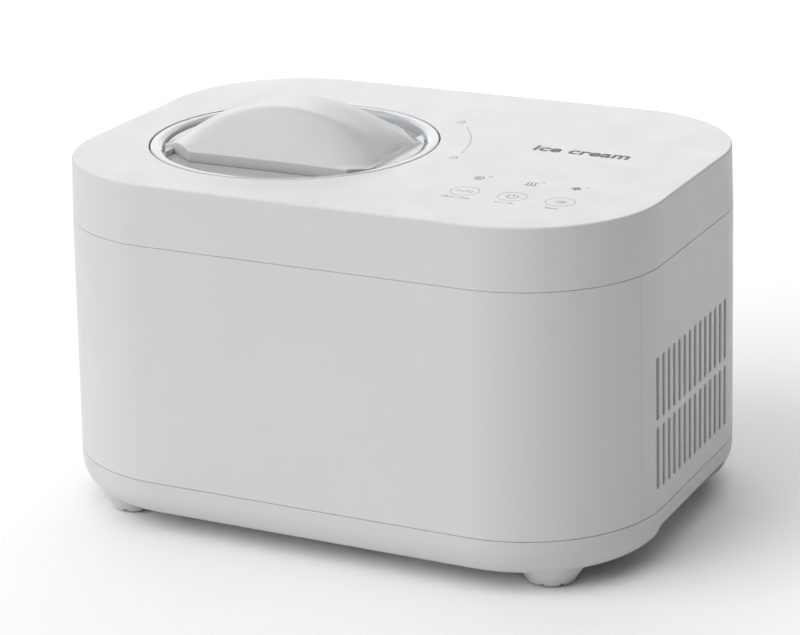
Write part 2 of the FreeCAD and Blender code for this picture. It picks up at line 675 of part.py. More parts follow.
def insulation_foam():
    body = bowl_axis("insulation_foam", [
        ("boss_radius + 3", "foam_bottom"), ("foam_outer", "foam_bottom"),
        ("foam_outer", "flange_top - well_wall - 0.5"), ("foam_inner", "flange_top - well_wall - 0.5"),
        ("foam_inner", "well_bottom"), ("boss_radius + 3", "well_bottom"),
    ])
    chase = sketch_on(body, offset="coil_low - 8")
    polygon(chase, [
        ("foam_inner * 0.7 + 5", "foam_inner * 0.7 - 5"), ("foam_outer * 0.75 + 5", "foam_outer * 0.75 - 5"),
        ("foam_outer * 0.75 - 5", "foam_outer * 0.75 + 5"), ("foam_inner * 0.7 - 5", "foam_inner * 0.7 + 5"),
    ])
    pad(body, chase, "case_depth", reverse=True, cut=True)


def temperature_sensor():
    bulb = rod("SensorBulb", "sensor_radius", "coil_pitch - 2 * coil_tube - 1.5", "bowl_x",
               "bowl_y - coil_radius", "coil_low + coil_tube + 0.5")
    node(bulb, "temperature_sensor")


def shaft_seal():
    bowl_axis("shaft_seal", [
        ("shaft_radius + fit_gap", "well_bottom - 4"), ("seal_radius + 3", "well_bottom - 4"),
        ("seal_radius + 3", "well_bottom"), ("seal_radius", "well_bottom"),
        ("seal_radius", "well_bottom + well_wall"), ("shaft_radius + fit_gap", "well_bottom + well_wall"),
    ])


# ---------------------------------------------------------------- gearbox and motor

SLOW_CENTRES = "gear_module * (small_teeth + large_teeth) / 2"
FAST_CENTRES = "fast_module * (small_teeth + large_teeth) / 2"


def box_outline(sketch, inset):
    rectangle(sketch, f"-box_half + {inset}", f"box_front + {inset}", f"box_half - {inset}",
              f"box_back - {inset}")


def gearbox_half(label, low, high, open_up):
    """Half of the gear case: a tray with its open side up or down."""
    body = new_body(label)
    outer = sketch_on(body, offset=low)
    box_outline(outer, "0")
    pad(body, outer, f"({high}) - ({low})")
    round_edges(body, "box_corner", upright)
    hollow = sketch_on(body, offset=high if open_up else low)
    box_outline(hollow, "box_wall")
    pad(body, hollow, f"({high}) - ({low}) - box_wall", reverse=not open_up, cut=True)
    doc.recompute()
    place(body, "bowl_x", "bowl_y")
    return body


def gearbox_base():
    body = gearbox_half("gearbox_base", "box_bottom", "box_split", True)
    bosses = sketch_on(body, offset="box_bottom + box_wall")
    circle(bosses, "0", "0", "boss_radius")
    circle(bosses, "0", SLOW_CENTRES, "pin_radius + 3")
    pad(body, bosses, "1.5")
    bore = sketch_on(body, offset="box_bottom + 2 * box_wall")
    circle(bore, "0", "0", "bush_radius")
    circle(bore, "0", SLOW_CENTRES, "pin_radius")
    circle(bore, FAST_CENTRES, SLOW_CENTRES, "motor_shaft + 1.5")
    pad(body, bore, "4 * box_wall", cut=True)


def gearbox_cover():
    body = gearbox_half("gearbox_cover", "box_split", "box_top", False)
    bosses = sketch_on(body, offset="box_top - box_wall")
    circle(bosses, "0", "0", "boss_radius")
    circle(bosses, "0", SLOW_CENTRES, "pin_radius + 3")
    pad(body, bosses, "5", reverse=True)
    bore = sketch_on(body, offset="box_top + box_wall")
    circle(bore, "0", "0", "bush_radius")
    pad(body, bore, "6 * box_wall", cut=True)
    blind = sketch_on(body, offset="box_top - box_wall - 6")
    circle(blind, "0", SLOW_CENTRES, "pin_radius")
    pad(body, blind, "6", reverse=True, cut=True)


def involute_point(base, radius):
    """Polar angle of the involute of a base circle at a radius."""
    ratio = math.sqrt(max((radius / base) ** 2 - 1, 0))
    return ratio - math.atan(ratio)


def polar(radius, angle):
    return FreeCAD.Vector(radius * math.cos(angle), radius * math.sin(angle), 0)


def gear_solid(module, teeth, face, low, turn=0.0):
    """A spur gear of 20 degree teeth, thinned by the backlash; one tooth points at the turn angle."""
    pitch = module * teeth / 2
    base = pitch * math.cos(math.radians(20))
    tip, root = pitch + module, pitch - 1.25 * module
    start = max(base, root)
    half_tooth = math.pi / (2 * teeth) - value("backlash") / 2 / pitch + involute_point(base, pitch)
    radii = [start, (start + tip) / 2, tip]
    angles = [half_tooth - involute_point(base, radius) for radius in radii]
    edges = []
    for tooth in range(teeth):
        middle = turn + 2 * math.pi * tooth / teeth
        following = middle + 2 * math.pi / teeth
        rise = [polar(radius, middle - angle) for radius, angle in zip(radii, angles)]
        fall = [polar(radius, middle + angle) for radius, angle in zip(radii, angles)]
        foot, next_foot = polar(root, middle + angles[0]), polar(root, following - angles[0])
        edges.append(Part.Arc(*rise).toShape())
        edges.append(Part.Arc(rise[2], polar(tip, middle), fall[2]).toShape())
        edges.append(Part.Arc(fall[2], fall[1], fall[0]).toShape())
        if start > root + 0.001:
            edges.append(Part.LineSegment(fall[0], foot).toShape())
        edges.append(Part.Arc(foot, polar(root, (middle + following) / 2), next_foot).toShape())
        if start > root + 0.001:
            edges.append(Part.LineSegment(next_foot, polar(start, following - angles[0])).toShape())
    outline = Part.Wire(Part.__sortEdges__(edges))
    solid = Part.Face(outline).extrude(FreeCAD.Vector(0, 0, face))
    solid.translate(FreeCAD.Vector(0, 0, low))
    return solid


def feature(label, shape, x="0", y="0", z="0"):
    """A piece whose shape is worked out here from the sheet's sizes."""
    thing = doc.addObject("Part::Feature", label.title().replace("_", ""))
    thing.Shape = shape
    thing.Placement.Base = FreeCAD.Vector(value(x), value(y), value(z))
    return node(thing, label)


def disc(radius, low, high):
    return Part.makeCylinder(value(radius), value(high) - value(low), FreeCAD.Vector(0, 0, value(low)))


# The slow pair's teeth point at each other along Y, and the fast pair's along X.
SLOW_MESH = math.pi / 2


def output_gear():
    teeth = int(value("large_teeth"))
    low, face = value("output_low"), value("output_face")
    solid = gear_solid(value("gear_module"), teeth, face, low, SLOW_MESH + math.pi / teeth)
    hub = disc("shaft_radius + 7", "output_low + output_face", "output_low + output_face + 5")
    solid = solid.fuse(hub).cut(disc("shaft_radius", "output_low - 1", "output_low + 20"))
    for step in range(6):
        hole = Part.makeCylinder(8, face + 2, polar(value("large_teeth * gear_module / 3.6"),
                                                    math.radians(60 * step)))
        hole.translate(FreeCAD.Vector(0, 0, low - 1))
        solid = solid.cut(hole)
    feature("output_gear", solid, "bowl_x", "bowl_y")


def compound_gear():
    small, large = int(value("small_teeth")), int(value("large_teeth"))
    low = value("output_low - 0.4")
    pinion = gear_solid(value("gear_module"), small, value("fast_low") - low, low, -SLOW_MESH)
    wheel = gear_solid(value("fast_module"), large, value("fast_face"), value("fast_low"))
    solid = pinion.fuse(wheel)
    solid = solid.cut(disc("pin_radius + fit_gap", "output_low - 3", "fast_low + 10"))
    feature("compound_gear", solid, "bowl_x", f"bowl_y + {SLOW_CENTRES}")


def compound_pin():
    node(rod("CompoundPin", "pin_radius", "box_top - box_wall - box_bottom - 1", "bowl_x",
             f"bowl_y + {SLOW_CENTRES}", "box_bottom"), "compound_pin")


def motor_rotor():
    """Laminated rotor, shaft and pinion of the drive motor."""
    small = int(value("small_teeth"))
    pinion = gear_solid(value("fast_module"), small, value("fast_face") + 1.6, value("fast_low - 0.8"),
                        math.pi + math.pi / small)
    shaft = disc("motor_shaft", "motor_bottom + 3", "fast_low + fast_face + 2")
    solid = pinion.fuse([shaft, disc("rotor_radius", "rotor_low", "rotor_high")])
    feature("motor_rotor", solid, f"bowl_x + {FAST_CENTRES}", f"bowl_y + {SLOW_CENTRES}")


def motor_can():
    """Can and stator in one: a ring about the rotor between two end plates with bearings."""
    bearing = "motor_shaft + fit_gap"
    turned("motor_can", [
        (bearing, "motor_bottom"), ("motor_radius", "motor_bottom"), ("motor_radius", "box_bottom"),
        (bearing, "box_bottom"), (bearing, "rotor_high + 2"), ("rotor_radius + free_gap", "rotor_high + 2"),
        ("rotor_radius + free_gap", "rotor_low - 2"), (bearing, "rotor_low - 2"),
    ], f"bowl_x + {FAST_CENTRES}", f"bowl_y + {SLOW_CENTRES}")


def drive_shaft():
    body = new_body("drive_shaft")
    plain = sketch_on(body, offset="shaft_bottom")
    circle(plain, "0", "0", "shaft_radius")
    pad(body, plain, "drive_start - shaft_bottom")
    drive = sketch_on(body, offset="drive_start")
    hexagon(drive, "drive_radius")
    pad(body, drive, "shaft_top - drive_start")
    place(body, "bowl_x", "bowl_y")


def shaft_bushes():
    for label, low, high in (("lower_bush", "shaft_bottom", "box_bottom + box_wall + 1.5"),
                             ("upper_bush", "box_top - box_wall - 5", "box_top + 1.5")):
        ring(label, "shaft_radius + fit_gap", "bush_radius", low, high, "bowl_x", "bowl_y")


# ---------------------------------------------------------------- compressor

def comp_axis(label, points):
    return turned(label, points, "comp_x", "comp_y")


def compressor_shells():
    inner = "comp_radius - comp_wall"
    comp_axis("compressor_base", [
        ("0", "comp_bottom"), ("comp_radius - comp_cone", "comp_bottom"),
        ("comp_radius", "comp_bottom + comp_cone"), ("comp_radius", "comp_split"), (inner, "comp_split"),
        (inner, "comp_bottom + comp_cone + 1"), ("comp_radius - comp_cone - 2", "comp_bottom + comp_wall"),
        ("0", "comp_bottom + comp_wall"),
    ])
    comp_axis("compressor_cap", [
        ("0", "comp_top"), ("comp_radius - comp_cone", "comp_top"), ("comp_radius", "comp_top - comp_cone"),
        ("comp_radius", "comp_split"), (inner, "comp_split"), (inner, "comp_top - comp_cone - 1"),
        ("comp_radius - comp_cone - 2", "comp_top - comp_wall"), ("0", "comp_top - comp_wall"),
    ])


def compressor_inside():
    ring("compressor_stator", "comp_rotor + rotor_gap", "stator_radius", "stack_low", "stack_high",
         "comp_x", "comp_y")
    comp_axis("compressor_rotor", [
        ("0", "stack_low - 8"), ("crank_radius", "stack_low - 8"), ("crank_radius", "stack_low"),
        ("comp_rotor", "stack_low"), ("comp_rotor", "stack_high"), ("crank_radius", "stack_high"),
        ("crank_radius", "pump_high + 4"), ("0", "pump_high + 4"),
    ])
    ring("compressor_pump", "crank_radius + fit_gap", "pump_radius", "pump_low", "pump_high",
         "comp_x", "comp_y")


def compressor_plate():
    body = new_body("compressor_plate")
    plate = sketch_on(body, offset="comp_bottom - plate_thick")
    rectangle(plate, "-plate_x", "-plate_y", "plate_x - 8", "plate_y")
    pad(body, plate, "plate_thick")
    round_edges(body, "8", upright)
    place(body, "comp_x", "comp_y")
    pieces = []
    for number, (side_x, side_y) in enumerate(CORNERS, start=1):
        x = f"comp_x - 4 + {side_x} * (plate_x - 14)"
        y = f"comp_y + {side_y} * (plate_y - 10)"
        height = f"comp_bottom - plate_thick - ({FLOOR})"
        pieces.append(rod(f"Grommet{number}", "grommet_radius", height, x, y, FLOOR))
    group("compressor_grommets", pieces)


def relay_cover():
    near = "comp_y - comp_radius"
    node(block("RelayCover", ("comp_x - 16", f"{near} - 22", "62"), ("comp_x + 16", f"{near} - 0.2", "104")),
         "relay_cover")


# ---------------------------------------------------------------- condenser and fan

def condenser():
    """A serpentine of tubes through a stack of thin fins."""
    tubes, bores = [], []
    lay = ((1, 0, 0), -90)
    for number in range(DIMENSIONS["cond_rows"]):
        z = f"cond_low + {number} * cond_pitch"
        for store, radius in ((tubes, "cond_tube"), (bores, "cond_tube")):
            store.append(rod(f"CondTube{number}", radius, "2 * cond_half", "cond_x", "-cond_half", z, lay))
    for number in range(DIMENSIONS["cond_rows"] - 1):
        bend = doc.addObject("Part::Torus", f"CondBend{number}")
        bend.setExpression("Radius1", bind("cond_pitch / 2"))
        bend.setExpression("Radius2", bind("cond_tube"))
        bend.Angle3 = 180
        side = 1 if number % 2 else -1
        turn = FreeCAD.Rotation(FreeCAD.Vector(0, 1, 0), 90)
        spin_back = FreeCAD.Rotation(FreeCAD.Vector(0, 0, 1), 0 if side > 0 else 180)
        bend.Placement.Rotation = spin_back.multiply(turn)
        for axis, text in zip("xyz", ("cond_x", f"{side} * cond_half",
                                      f"cond_low + {number + 0.5} * cond_pitch")):
            bend.setExpression(f"Placement.Base.{axis}", bind(text))
        tubes.append(bend)
    node(join("CondenserTubes", tubes), "condenser_tubes")
    plates = []
    fin_top = "cond_low + (cond_rows - 1) * cond_pitch + 6"
    for number in range(DIMENSIONS["fin_count"]):
        y = f"({number} - (fin_count - 1) / 2) * fin_pitch"
        low = ("cond_x - fin_depth / 2", f"{y} - fin_thick / 2", "cond_low - 6")
        high = ("cond_x + fin_depth / 2", f"{y} + fin_thick / 2", fin_top)
        plates.append(block(f"Fin{number}", low, high))
    stack = doc.addObject("Part::Compound", "FinStack")
    stack.Links = plates
    node(minus("CondenserFins", stack, join("FinBores", bores)), "condenser_fins")


FAN_TURN = ((0, 1, 0), 90)


def fan_frame():
    """A square duct with a motor hub held by four struts; its own Z is the fan's axis."""
    body = new_body("fan_frame")
    square = sketch_on(body)
    rectangle(square, "-fan_half", "-fan_half", "fan_half", "fan_half")
    pad(body, square, "fan_depth")
    round_edges(body, "4", upright)
    bore = sketch_on(body, offset="fan_depth")
    circle(bore, "0", "0", "fan_bore")
    pad(body, bore, "fan_depth", cut=True)
    struts = sketch_on(body)
    rectangle(struts, "-fan_half + 1", "-strut / 2", "fan_half - 1", "strut / 2")
    pad(body, struts, "2.5")
    cross = sketch_on(body)
    rectangle(cross, "-strut / 2", "-fan_half + 1", "strut / 2", "fan_half - 1")
    pad(body, cross, "2.5")
    hub = sketch_on(body)
    circle(hub, "0", "0", "fan_hub")
    pad(body, hub, "4")
    axle = sketch_on(body)
    circle(axle, "0", "0", "2.5")
    pad(body, axle, "fan_depth - 3")
    place(body, "fan_x", "0", "fan_z", FAN_TURN)


def fan_rotor():
    body = new_body("fan_rotor")
    hub = sketch_on(body, "XZ_Plane")
    polygon(hub, [("2.5 + fit_gap", "5"), ("fan_hub + 1", "5"), ("fan_hub + 1", "fan_depth - 2"),
                  ("2.5 + fit_gap", "fan_depth - 2")])
    spin(body, hub)
    blade = sketch_on(body, "YZ_Plane", "fan_hub - 1")
    polygon(blade, [("-7", "6.5"), ("-5", "6.5"), ("7", "fan_depth - 3.5"), ("5", "fan_depth - 3.5")])
    vane = pad(body, blade, "fan_tip - fan_hub")
    blades = body.newObject("PartDesign::PolarPattern", "FanBlades")
    blades.Originals = [vane]
    blades.Axis = (hub, ["V_Axis"])
    blades.Angle = 360
    blades.setExpression("Occurrences", bind("blade_count"))
    body.Tip = blades
    place(body, "fan_x", "0", "fan_z", FAN_TURN)


# ---------------------------------------------------------------- pipes

def bent_pipe(label, points, radius, bend):
    """A tube along straight runs joined by tangent arcs of one bend radius."""
    corners = [FreeCAD.Vector(*[value(number) for number in point]) for point in points]
    edges = []
    here = corners[0]
    for before, corner, after in zip(corners, corners[1:], corners[2:]):
        back, ahead = (before - corner).normalize(), (after - corner).normalize()
        half = back.getAngle(ahead) / 2
        trim = bend / math.tan(half)
        start, end = corner + back * trim, corner + ahead * trim
        middle = corner + (back + ahead).normalize() * (bend / math.sin(half) - bend)
        edges.append(Part.LineSegment(here, start).toShape())
        edges.append(Part.Arc(start, middle, end).toShape())
        here = end
    edges.append(Part.LineSegment(here, corners[-1]).toShape())
    path = Part.Wire(edges)
    profile = Part.Wire([Part.Circle(corners[0], corners[1] - corners[0], value(radius)).toShape()])
    feature(label, path.makePipeShell([profile], True, True))


def pipes():
    coil_x, coil_y = "bowl_x + 0.71 * (coil_radius + coil_tube)", "bowl_y + 0.71 * (coil_radius + coil_tube)"
    top_turn = "coil_low + 5 * coil_pitch"
    top_row = "cond_low + (cond_rows - 1) * cond_pitch"
    bent_pipe("discharge_line", [
        ("comp_x", "comp_y + comp_radius", "discharge_z"), ("comp_x", "riser_y", "discharge_z"),
        ("cond_x", "riser_y", "discharge_z"), ("cond_x", "riser_y", top_row),
        ("cond_x", "cond_half", top_row),
    ], "discharge_pipe", 9)
    bent_pipe("liquid_line", [
        ("cond_x", "cond_half", "cond_low"), ("cond_x", "drier_y", "cond_low"),
        ("drier_x", "drier_y", "cond_low"), ("drier_x", "drier_y", "drier_low"),
    ], "liquid_pipe", 7)
    node(rod("FilterDrier", "drier_radius", "drier_high - drier_low", "drier_x", "drier_y", "drier_low"),
         "filter_drier")
    bent_pipe("capillary_tube", [
        ("drier_x", "drier_y", "drier_high"), ("drier_x", "drier_y", "capillary_z"),
        ("capillary_x", "drier_y", "capillary_z"),
        ("capillary_x", f"{coil_y} + capillary_x - ({coil_x})", "coil_low"), (coil_x, coil_y, "coil_low"),
    ], "capillary_pipe", 7)
    bent_pipe("suction_line", [
        (coil_x, coil_y, top_turn), ("return_x", f"{coil_y} + return_x - ({coil_x})", top_turn),
        ("suction_x", "suction_y", top_turn), ("suction_x", "suction_y", "suction_z"),
        ("suction_x", "comp_y + comp_radius * 0.9", "suction_z"),
    ], "suction_pipe", 8)


# ---------------------------------------------------------------- electronics

def touch_board():
    """The key board under the top, with a chip and a plug on its underside."""
    high = "top_height - wall - key_height"
    low = f"{high} - board_thick"
    board = block("TouchPcb", ("touch_left", "touch_front", low), ("touch_right", "touch_back", high))
    chip = block("TouchChip", ("chip_x - chip_half", "chip_y - chip_half", f"{low} - 3"),
                 ("chip_x + chip_half", "chip_y + chip_half", low))
    plug_x = "touch_left + 2 * plug_size"
    plug = block("TouchPlug", (plug_x, "chip_y - plug_size", f"{low} - plug_size"),
                 (f"{plug_x} + 2 * plug_size", "chip_y + plug_size / 2", low))
    node(join("TouchBoard", [board, chip, plug]), "touch_board")
    pads = []
    for number in range(3):
        x = f"key_first + {number} * key_pitch"
        pads.append(rod(f"TouchPad{number}", "key_radius", "key_height", x, "key_y", high))
    group("touch_pads", pads)


def power_board():
    """The supply board on the rear wall: transformer, relay, heat sink, capacitor and plug."""
    face = "power_y + board_thick"
    left, low, high = "power_left + part_edge", "power_low + part_edge", "power_high - 2 * part_edge"
    pieces = [
        block("PowerPcb", ("power_left", "power_y", "power_low"), ("power_right", face, "power_high")),
        block("PowerTransformer", (left, face, low),
              (f"{left} + transformer", f"{face} + transformer / 2 + 2", f"{low} + transformer")),
        block("PowerRelay", (left, face, f"{high} - relay + 4"),
              (f"{left} + relay", f"{face} + relay / 2 + 3", f"{high} + 4")),
        block("PowerHeatSink", ("sink_x - sink_half", face, f"{low} + 8"),
              ("sink_x + sink_half", f"{face} + 16", f"{high} - 2")),
        rod("PowerCapacitor", "8", "16", "capacitor_x", face, f"{low} + 18", ((1, 0, 0), -90)),
        block("PowerPlug", ("capacitor_x - 12", face, f"{high} - 8"),
              ("capacitor_x + 12", f"{face} + 10", f"{high} + 4")),
    ]
    node(join("PowerBoard", pieces), "power_board")


# ---------------------------------------------------------------- build and check

MAKERS = [
    top_cover, front_shell, rear_shell, base_tray, foot_pads, case_screws, cord_gland,
    lid_ring, lid_window, lid_seal, lid_handle, handle_screws,
    bowl, paddle_bush, paddle,
    cooling_well, well_gasket, evaporator_coil, insulation_foam, temperature_sensor, shaft_seal,
    gearbox_base, gearbox_cover, output_gear, compound_gear, compound_pin, motor_rotor, motor_can,
    drive_shaft, shaft_bushes,
    compressor_shells, compressor_inside, compressor_plate, relay_cover,
    condenser, fan_frame, fan_rotor, pipes, touch_board, power_board,
]
for maker in MAKERS:
    maker()
doc.recompute()

faults = []
for item in doc.Objects:
    if "Invalid" in item.State or "Error" in item.State:
        faults.append(f"{item.Label}: {item.State}")
for piece in NODES:
    if piece.Shape.isNull() or not piece.Shape.isValid():
        faults.append(f"{piece.Label}: null or invalid shape")
if faults:
    raise SystemExit("\n".join(faults))

os.makedirs("parts", exist_ok=True)
for piece in NODES:
    piece.Shape.exportStep(f"parts/{piece.Label}.step")
    box = piece.Shape.BoundBox
    print(f"{piece.Label:22s} solids {len(piece.Shape.Solids):3d}  volume {piece.Shape.Volume:10.0f}  "
          f"x {box.XMin:7.1f} {box.XMax:7.1f}  y {box.YMin:7.1f} {box.YMax:7.1f}  "
          f"z {box.ZMin:6.1f} {box.ZMax:6.1f}")
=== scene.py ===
import json
import math

import bpy
import bmesh
from mathutils import Matrix, Vector


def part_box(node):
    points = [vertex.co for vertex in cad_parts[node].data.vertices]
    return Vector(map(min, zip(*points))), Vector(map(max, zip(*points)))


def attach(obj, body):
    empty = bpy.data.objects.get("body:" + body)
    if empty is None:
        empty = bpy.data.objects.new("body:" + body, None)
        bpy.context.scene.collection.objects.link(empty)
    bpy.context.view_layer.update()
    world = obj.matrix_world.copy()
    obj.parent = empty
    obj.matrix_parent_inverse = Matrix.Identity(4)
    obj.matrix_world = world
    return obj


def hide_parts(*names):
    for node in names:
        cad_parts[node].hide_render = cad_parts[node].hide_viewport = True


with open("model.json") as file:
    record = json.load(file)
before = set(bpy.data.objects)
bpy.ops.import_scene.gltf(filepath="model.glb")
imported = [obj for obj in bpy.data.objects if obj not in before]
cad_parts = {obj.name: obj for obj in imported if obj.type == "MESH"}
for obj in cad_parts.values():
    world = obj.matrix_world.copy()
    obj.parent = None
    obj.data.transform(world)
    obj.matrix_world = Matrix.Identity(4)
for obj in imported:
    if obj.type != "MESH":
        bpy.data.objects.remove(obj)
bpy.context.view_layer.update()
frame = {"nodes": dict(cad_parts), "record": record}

MM = 0.001
AXIS = 0.01 * MM        # a turned solid starts this far from its axis

# ---------------------------------------------------------------- sizes read from the frame

COVER_LOW, COVER_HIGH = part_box("top_cover")
TRAY_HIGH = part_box("base_tray")[1]
RING_LOW, RING_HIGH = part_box("lid_ring")
WINDOW_LOW, WINDOW_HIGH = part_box("lid_window")
HANDLE_LOW, HANDLE_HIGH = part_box("lid_handle")
BOWL_LOW, BOWL_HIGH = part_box("bowl")

HALF_X, HALF_Y = COVER_HIGH.x, COVER_HIGH.y
TOP = COVER_HIGH.z
LEVEL_LOW = TRAY_HIGH.z
LEVEL_HIGH = COVER_LOW.z + 5 * MM
FLARE = TRAY_HIGH.x - HALF_X
TOP_INSET = 1.5 * MM
CORNER = 87.7 * MM
WALL = 2.5 * MM
UNDER = 10.2 * MM
BASE_ROUND = 19.5 * MM
SPLIT_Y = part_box("front_shell")[1].y
SEAM_ROUND = 0.35 * MM
SEAM_GAP = 0.2 * MM
TOP_ROUND = 1.2 * MM

LID = Vector(((RING_LOW.x + RING_HIGH.x) / 2, (RING_LOW.y + RING_HIGH.y) / 2))
LID_RADIUS = (RING_HIGH.x - RING_LOW.x) / 2
HOLE = LID_RADIUS + 0.8 * MM
LEDGE_TOP = RING_LOW.z - 1.6 * MM
LEDGE = 82 * MM
LEDGE_THICK = 2.4 * MM
WINDOW_RADIUS = (WINDOW_HIGH.x - WINDOW_LOW.x) / 2
SEAT = 78 * MM


# ---------------------------------------------------------------- mesh helpers

def make_object(name, points, faces, body, material, replaces=(), sharp=32, weighted=True):
    """A piece from points and faces: closed up, shaded, riding on its body."""
    mesh = bpy.data.meshes.new(name)
    mesh.from_pydata([tuple(point) for point in points], [], faces)
    obj = bpy.data.objects.new(name, mesh)
    bpy.context.scene.collection.objects.link(obj)
    return dress(obj, body, material, replaces, sharp, weighted)


def dress(obj, body, material, replaces=(), sharp=32, weighted=True):
    """Clean an object's mesh, shade it, give it its material, hang it on its body and hide the parts it
    replaces.
    """
    shape = bmesh.new()
    shape.from_mesh(obj.data)
    bmesh.ops.remove_doubles(shape, verts=shape.verts, dist=1e-7)
    bmesh.ops.recalc_face_normals(shape, faces=shape.faces)
    shape.to_mesh(obj.data)
    shape.free()
    for face in obj.data.polygons:
        face.use_smooth = True
    obj.data.set_sharp_from_angle(angle=math.radians(sharp))
    if weighted:
        modifier = obj.modifiers.new("Weights", "WEIGHTED_NORMAL")
        modifier.keep_sharp = True
    obj.data.materials.clear()
    obj.data.materials.append(material)
    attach(obj, body)
    if replaces:
        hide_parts(*replaces)
    return obj


def skin(rings, close=False):
    """Quads between successive rings of equal length; close joins the last ring to the first."""
    count = len(rings[0])
    points = [point for ring in rings for point in ring]
    faces = []
    spans = len(rings) if close else len(rings) - 1
    for row in range(spans):
        here, there = row * count, (row + 1) % len(rings) * count
        for column in range(count):
            following = (column + 1) % count
            faces.append((here + column, here + following, there + following, there + column))
    return points, faces


def merge(*parts):
    """Several (points, faces) pairs as one."""
    points, faces = [], []
    for part_points, part_faces in parts:
        start = len(points)
        points += list(part_points)
        faces += [tuple(start + index for index in face) for face in part_faces]
    return points, faces


def turn_about(profile, centre, steps=96, closed=True):
    """A turned solid from (radius, height) points about an upright axis."""
    rings = []
    for step in range(steps):
        angle = 2 * math.pi * step / steps
        way = Vector((math.cos(angle), math.sin(angle)))
        rings.append([Vector((centre[0] + way.x * r, centre[1] + way.y * r, z)) for r, z in profile])
    points, faces = [p for ring in rings for p in ring], []
    count = len(profile)
    spans = count if closed else count - 1
    for row in range(steps):
        here, there = row * count, (row + 1) % steps * count
        for column in range(spans):
            following = (column + 1) % count
            faces.append((here + column, here + following, there + following, there + column))
    return points, faces


def rounded(profile, radius, steps=3):
    """A closed (a, b) outline with every corner cut by a small arc."""
    result = []
    count = len(profile)
    for index, corner in enumerate(profile):
        own = radius[index] if isinstance(radius, (list, tuple)) else radius
        here = Vector(corner)
        before, after = Vector(profile[index - 1]), Vector(profile[(index + 1) % count])
        back, ahead = before - here, after - here
        own = min(own, back.length * 0.45, ahead.length * 0.45)
        if own <= 0:
            result.append(tuple(here))
            continue
        start, end = here + back.normalized() * own, here + ahead.normalized() * own
        for step in range(steps + 1):
            t = step / steps
            point = start * (1 - t) ** 2 + here * 2 * t * (1 - t) + end * t ** 2
            result.append(tuple(point))
    return result


# ---------------------------------------------------------------- materials

class Nodes:
    """A short way to build a node material."""

    def __init__(self, name):
        self.material = bpy.data.materials.new(name)
        self.material.use_nodes = True
        self.tree = self.material.node_tree
        self.tree.nodes.clear()
        self.shader = self.add("ShaderNodeBsdfPrincipled")
        output = self.add("ShaderNodeOutputMaterial")
        self.link(self.shader.outputs["BSDF"], output.inputs["Surface"])
        self.place = self.add("ShaderNodeTexCoord").outputs["Object"]

    def add(self, kind, **settings):
        node = self.tree.nodes.new(kind)
        for key, setting in settings.items():
            setattr(node, key, setting)
        return node

    def link(self, start, end):
        self.tree.links.new(start, end)

    def noise(self, scale, detail=3, roughness=0.5, stretch=None):
        texture = self.add("ShaderNodeTexNoise")
        texture.inputs["Scale"].default_value = scale
        texture.inputs["Detail"].default_value = detail
        texture.inputs["Roughness"].default_value = roughness
        source = self.place
        if stretch:
            mapping = self.add("ShaderNodeMapping")
            mapping.inputs["Scale"].default_value = stretch
            self.link(source, mapping.inputs["Vector"])
            source = mapping.outputs["Vector"]
        self.link(source, texture.inputs["Vector"])
        return texture.outputs["Fac"]

    def spread(self, source, low, high):
        """Map the middle of a 0 to 1 texture onto a range."""
        ranged = self.add("ShaderNodeMapRange")
        ranged.inputs["From Min"].default_value = 0.3
        ranged.inputs["From Max"].default_value = 0.7
        ranged.inputs["To Min"].default_value = low
        ranged.inputs["To Max"].default_value = high
        self.link(source, ranged.inputs["Value"])
        return ranged.outputs["Result"]

    def tint(self, source, low, high):
        """Blend two colours by a texture into the base colour."""
        mix = self.add("ShaderNodeMix", data_type="RGBA")
        mix.inputs["A"].default_value = (*low, 1)
        mix.inputs["B"].default_value = (*high, 1)
        self.link(source, mix.inputs["Factor"])
        self.link(mix.outputs["Result"], self.shader.inputs["Base Color"])

    def bump(self, source, strength, distance):
        bump = self.add("ShaderNodeBump")
        bump.inputs["Strength"].default_value = strength
        bump.inputs["Distance"].default_value = distance
        self.link(source, bump.inputs["Height"])
        self.link(bump.outputs["Normal"], self.shader.inputs["Normal"])

    def settle(self, **values):
        for key, number in values.items():
            self.shader.inputs[key.replace("_", " ")].default_value = number
        return self.material


def shade(color, factor):
    return tuple(min(1, channel * factor) for channel in color)


def plastic(name, color, rough=(0.36, 0.46), grain=0.12, grain_scale=2600, vary=0.985, **extra):
    """Moulded plastic: faint colour drift, a fine texture and slightly uneven gloss."""
    make = Nodes(name)
    make.tint(make.spread(make.noise(14, 4), 0, 1), shade(color, vary), color)
    make.link(make.spread(make.noise(60, 5), *rough), make.shader.inputs["Roughness"])
    make.bump(make.noise(grain_scale, 2, 0.6), grain, 0.00006)
    return make.settle(**extra)


def rubber(name, color, rough=(0.62, 0.8)):
    make = Nodes(name)
    make.tint(make.spread(make.noise(40, 4), 0, 1), shade(color, 0.85), color)
    make.link(make.spread(make.noise(120, 4), *rough), make.shader.inputs["Roughness"])
    make.bump(make.noise(1500, 3), 0.25, 0.0001)
    return make.settle()


def metal(name, color, rough=(0.22, 0.34), stretch=(1, 1, 60), scale=24, bump=0.05):
    """Metal with fine marks drawn out along one way."""
    make = Nodes(name)
    marks = make.noise(scale, 6, 0.6, stretch)
    make.tint(make.spread(marks, 0, 1), shade(color, 0.86), shade(color, 1.05))
    make.link(make.spread(marks, *rough), make.shader.inputs["Roughness"])
    make.bump(marks, bump, 0.0001)
    return make.settle(Metallic=1.0)


def clear(name, color, transmission, rough=0.04):
    """Clear or smoky moulded plastic with a faint ripple."""
    make = Nodes(name)
    make.tint(make.spread(make.noise(20, 2), 0, 1), shade(color, 0.96), color)
    make.bump(make.noise(60, 2), 0.02, 0.0003)
    return make.settle(Transmission_Weight=transmission, Roughness=rough, IOR=1.49)


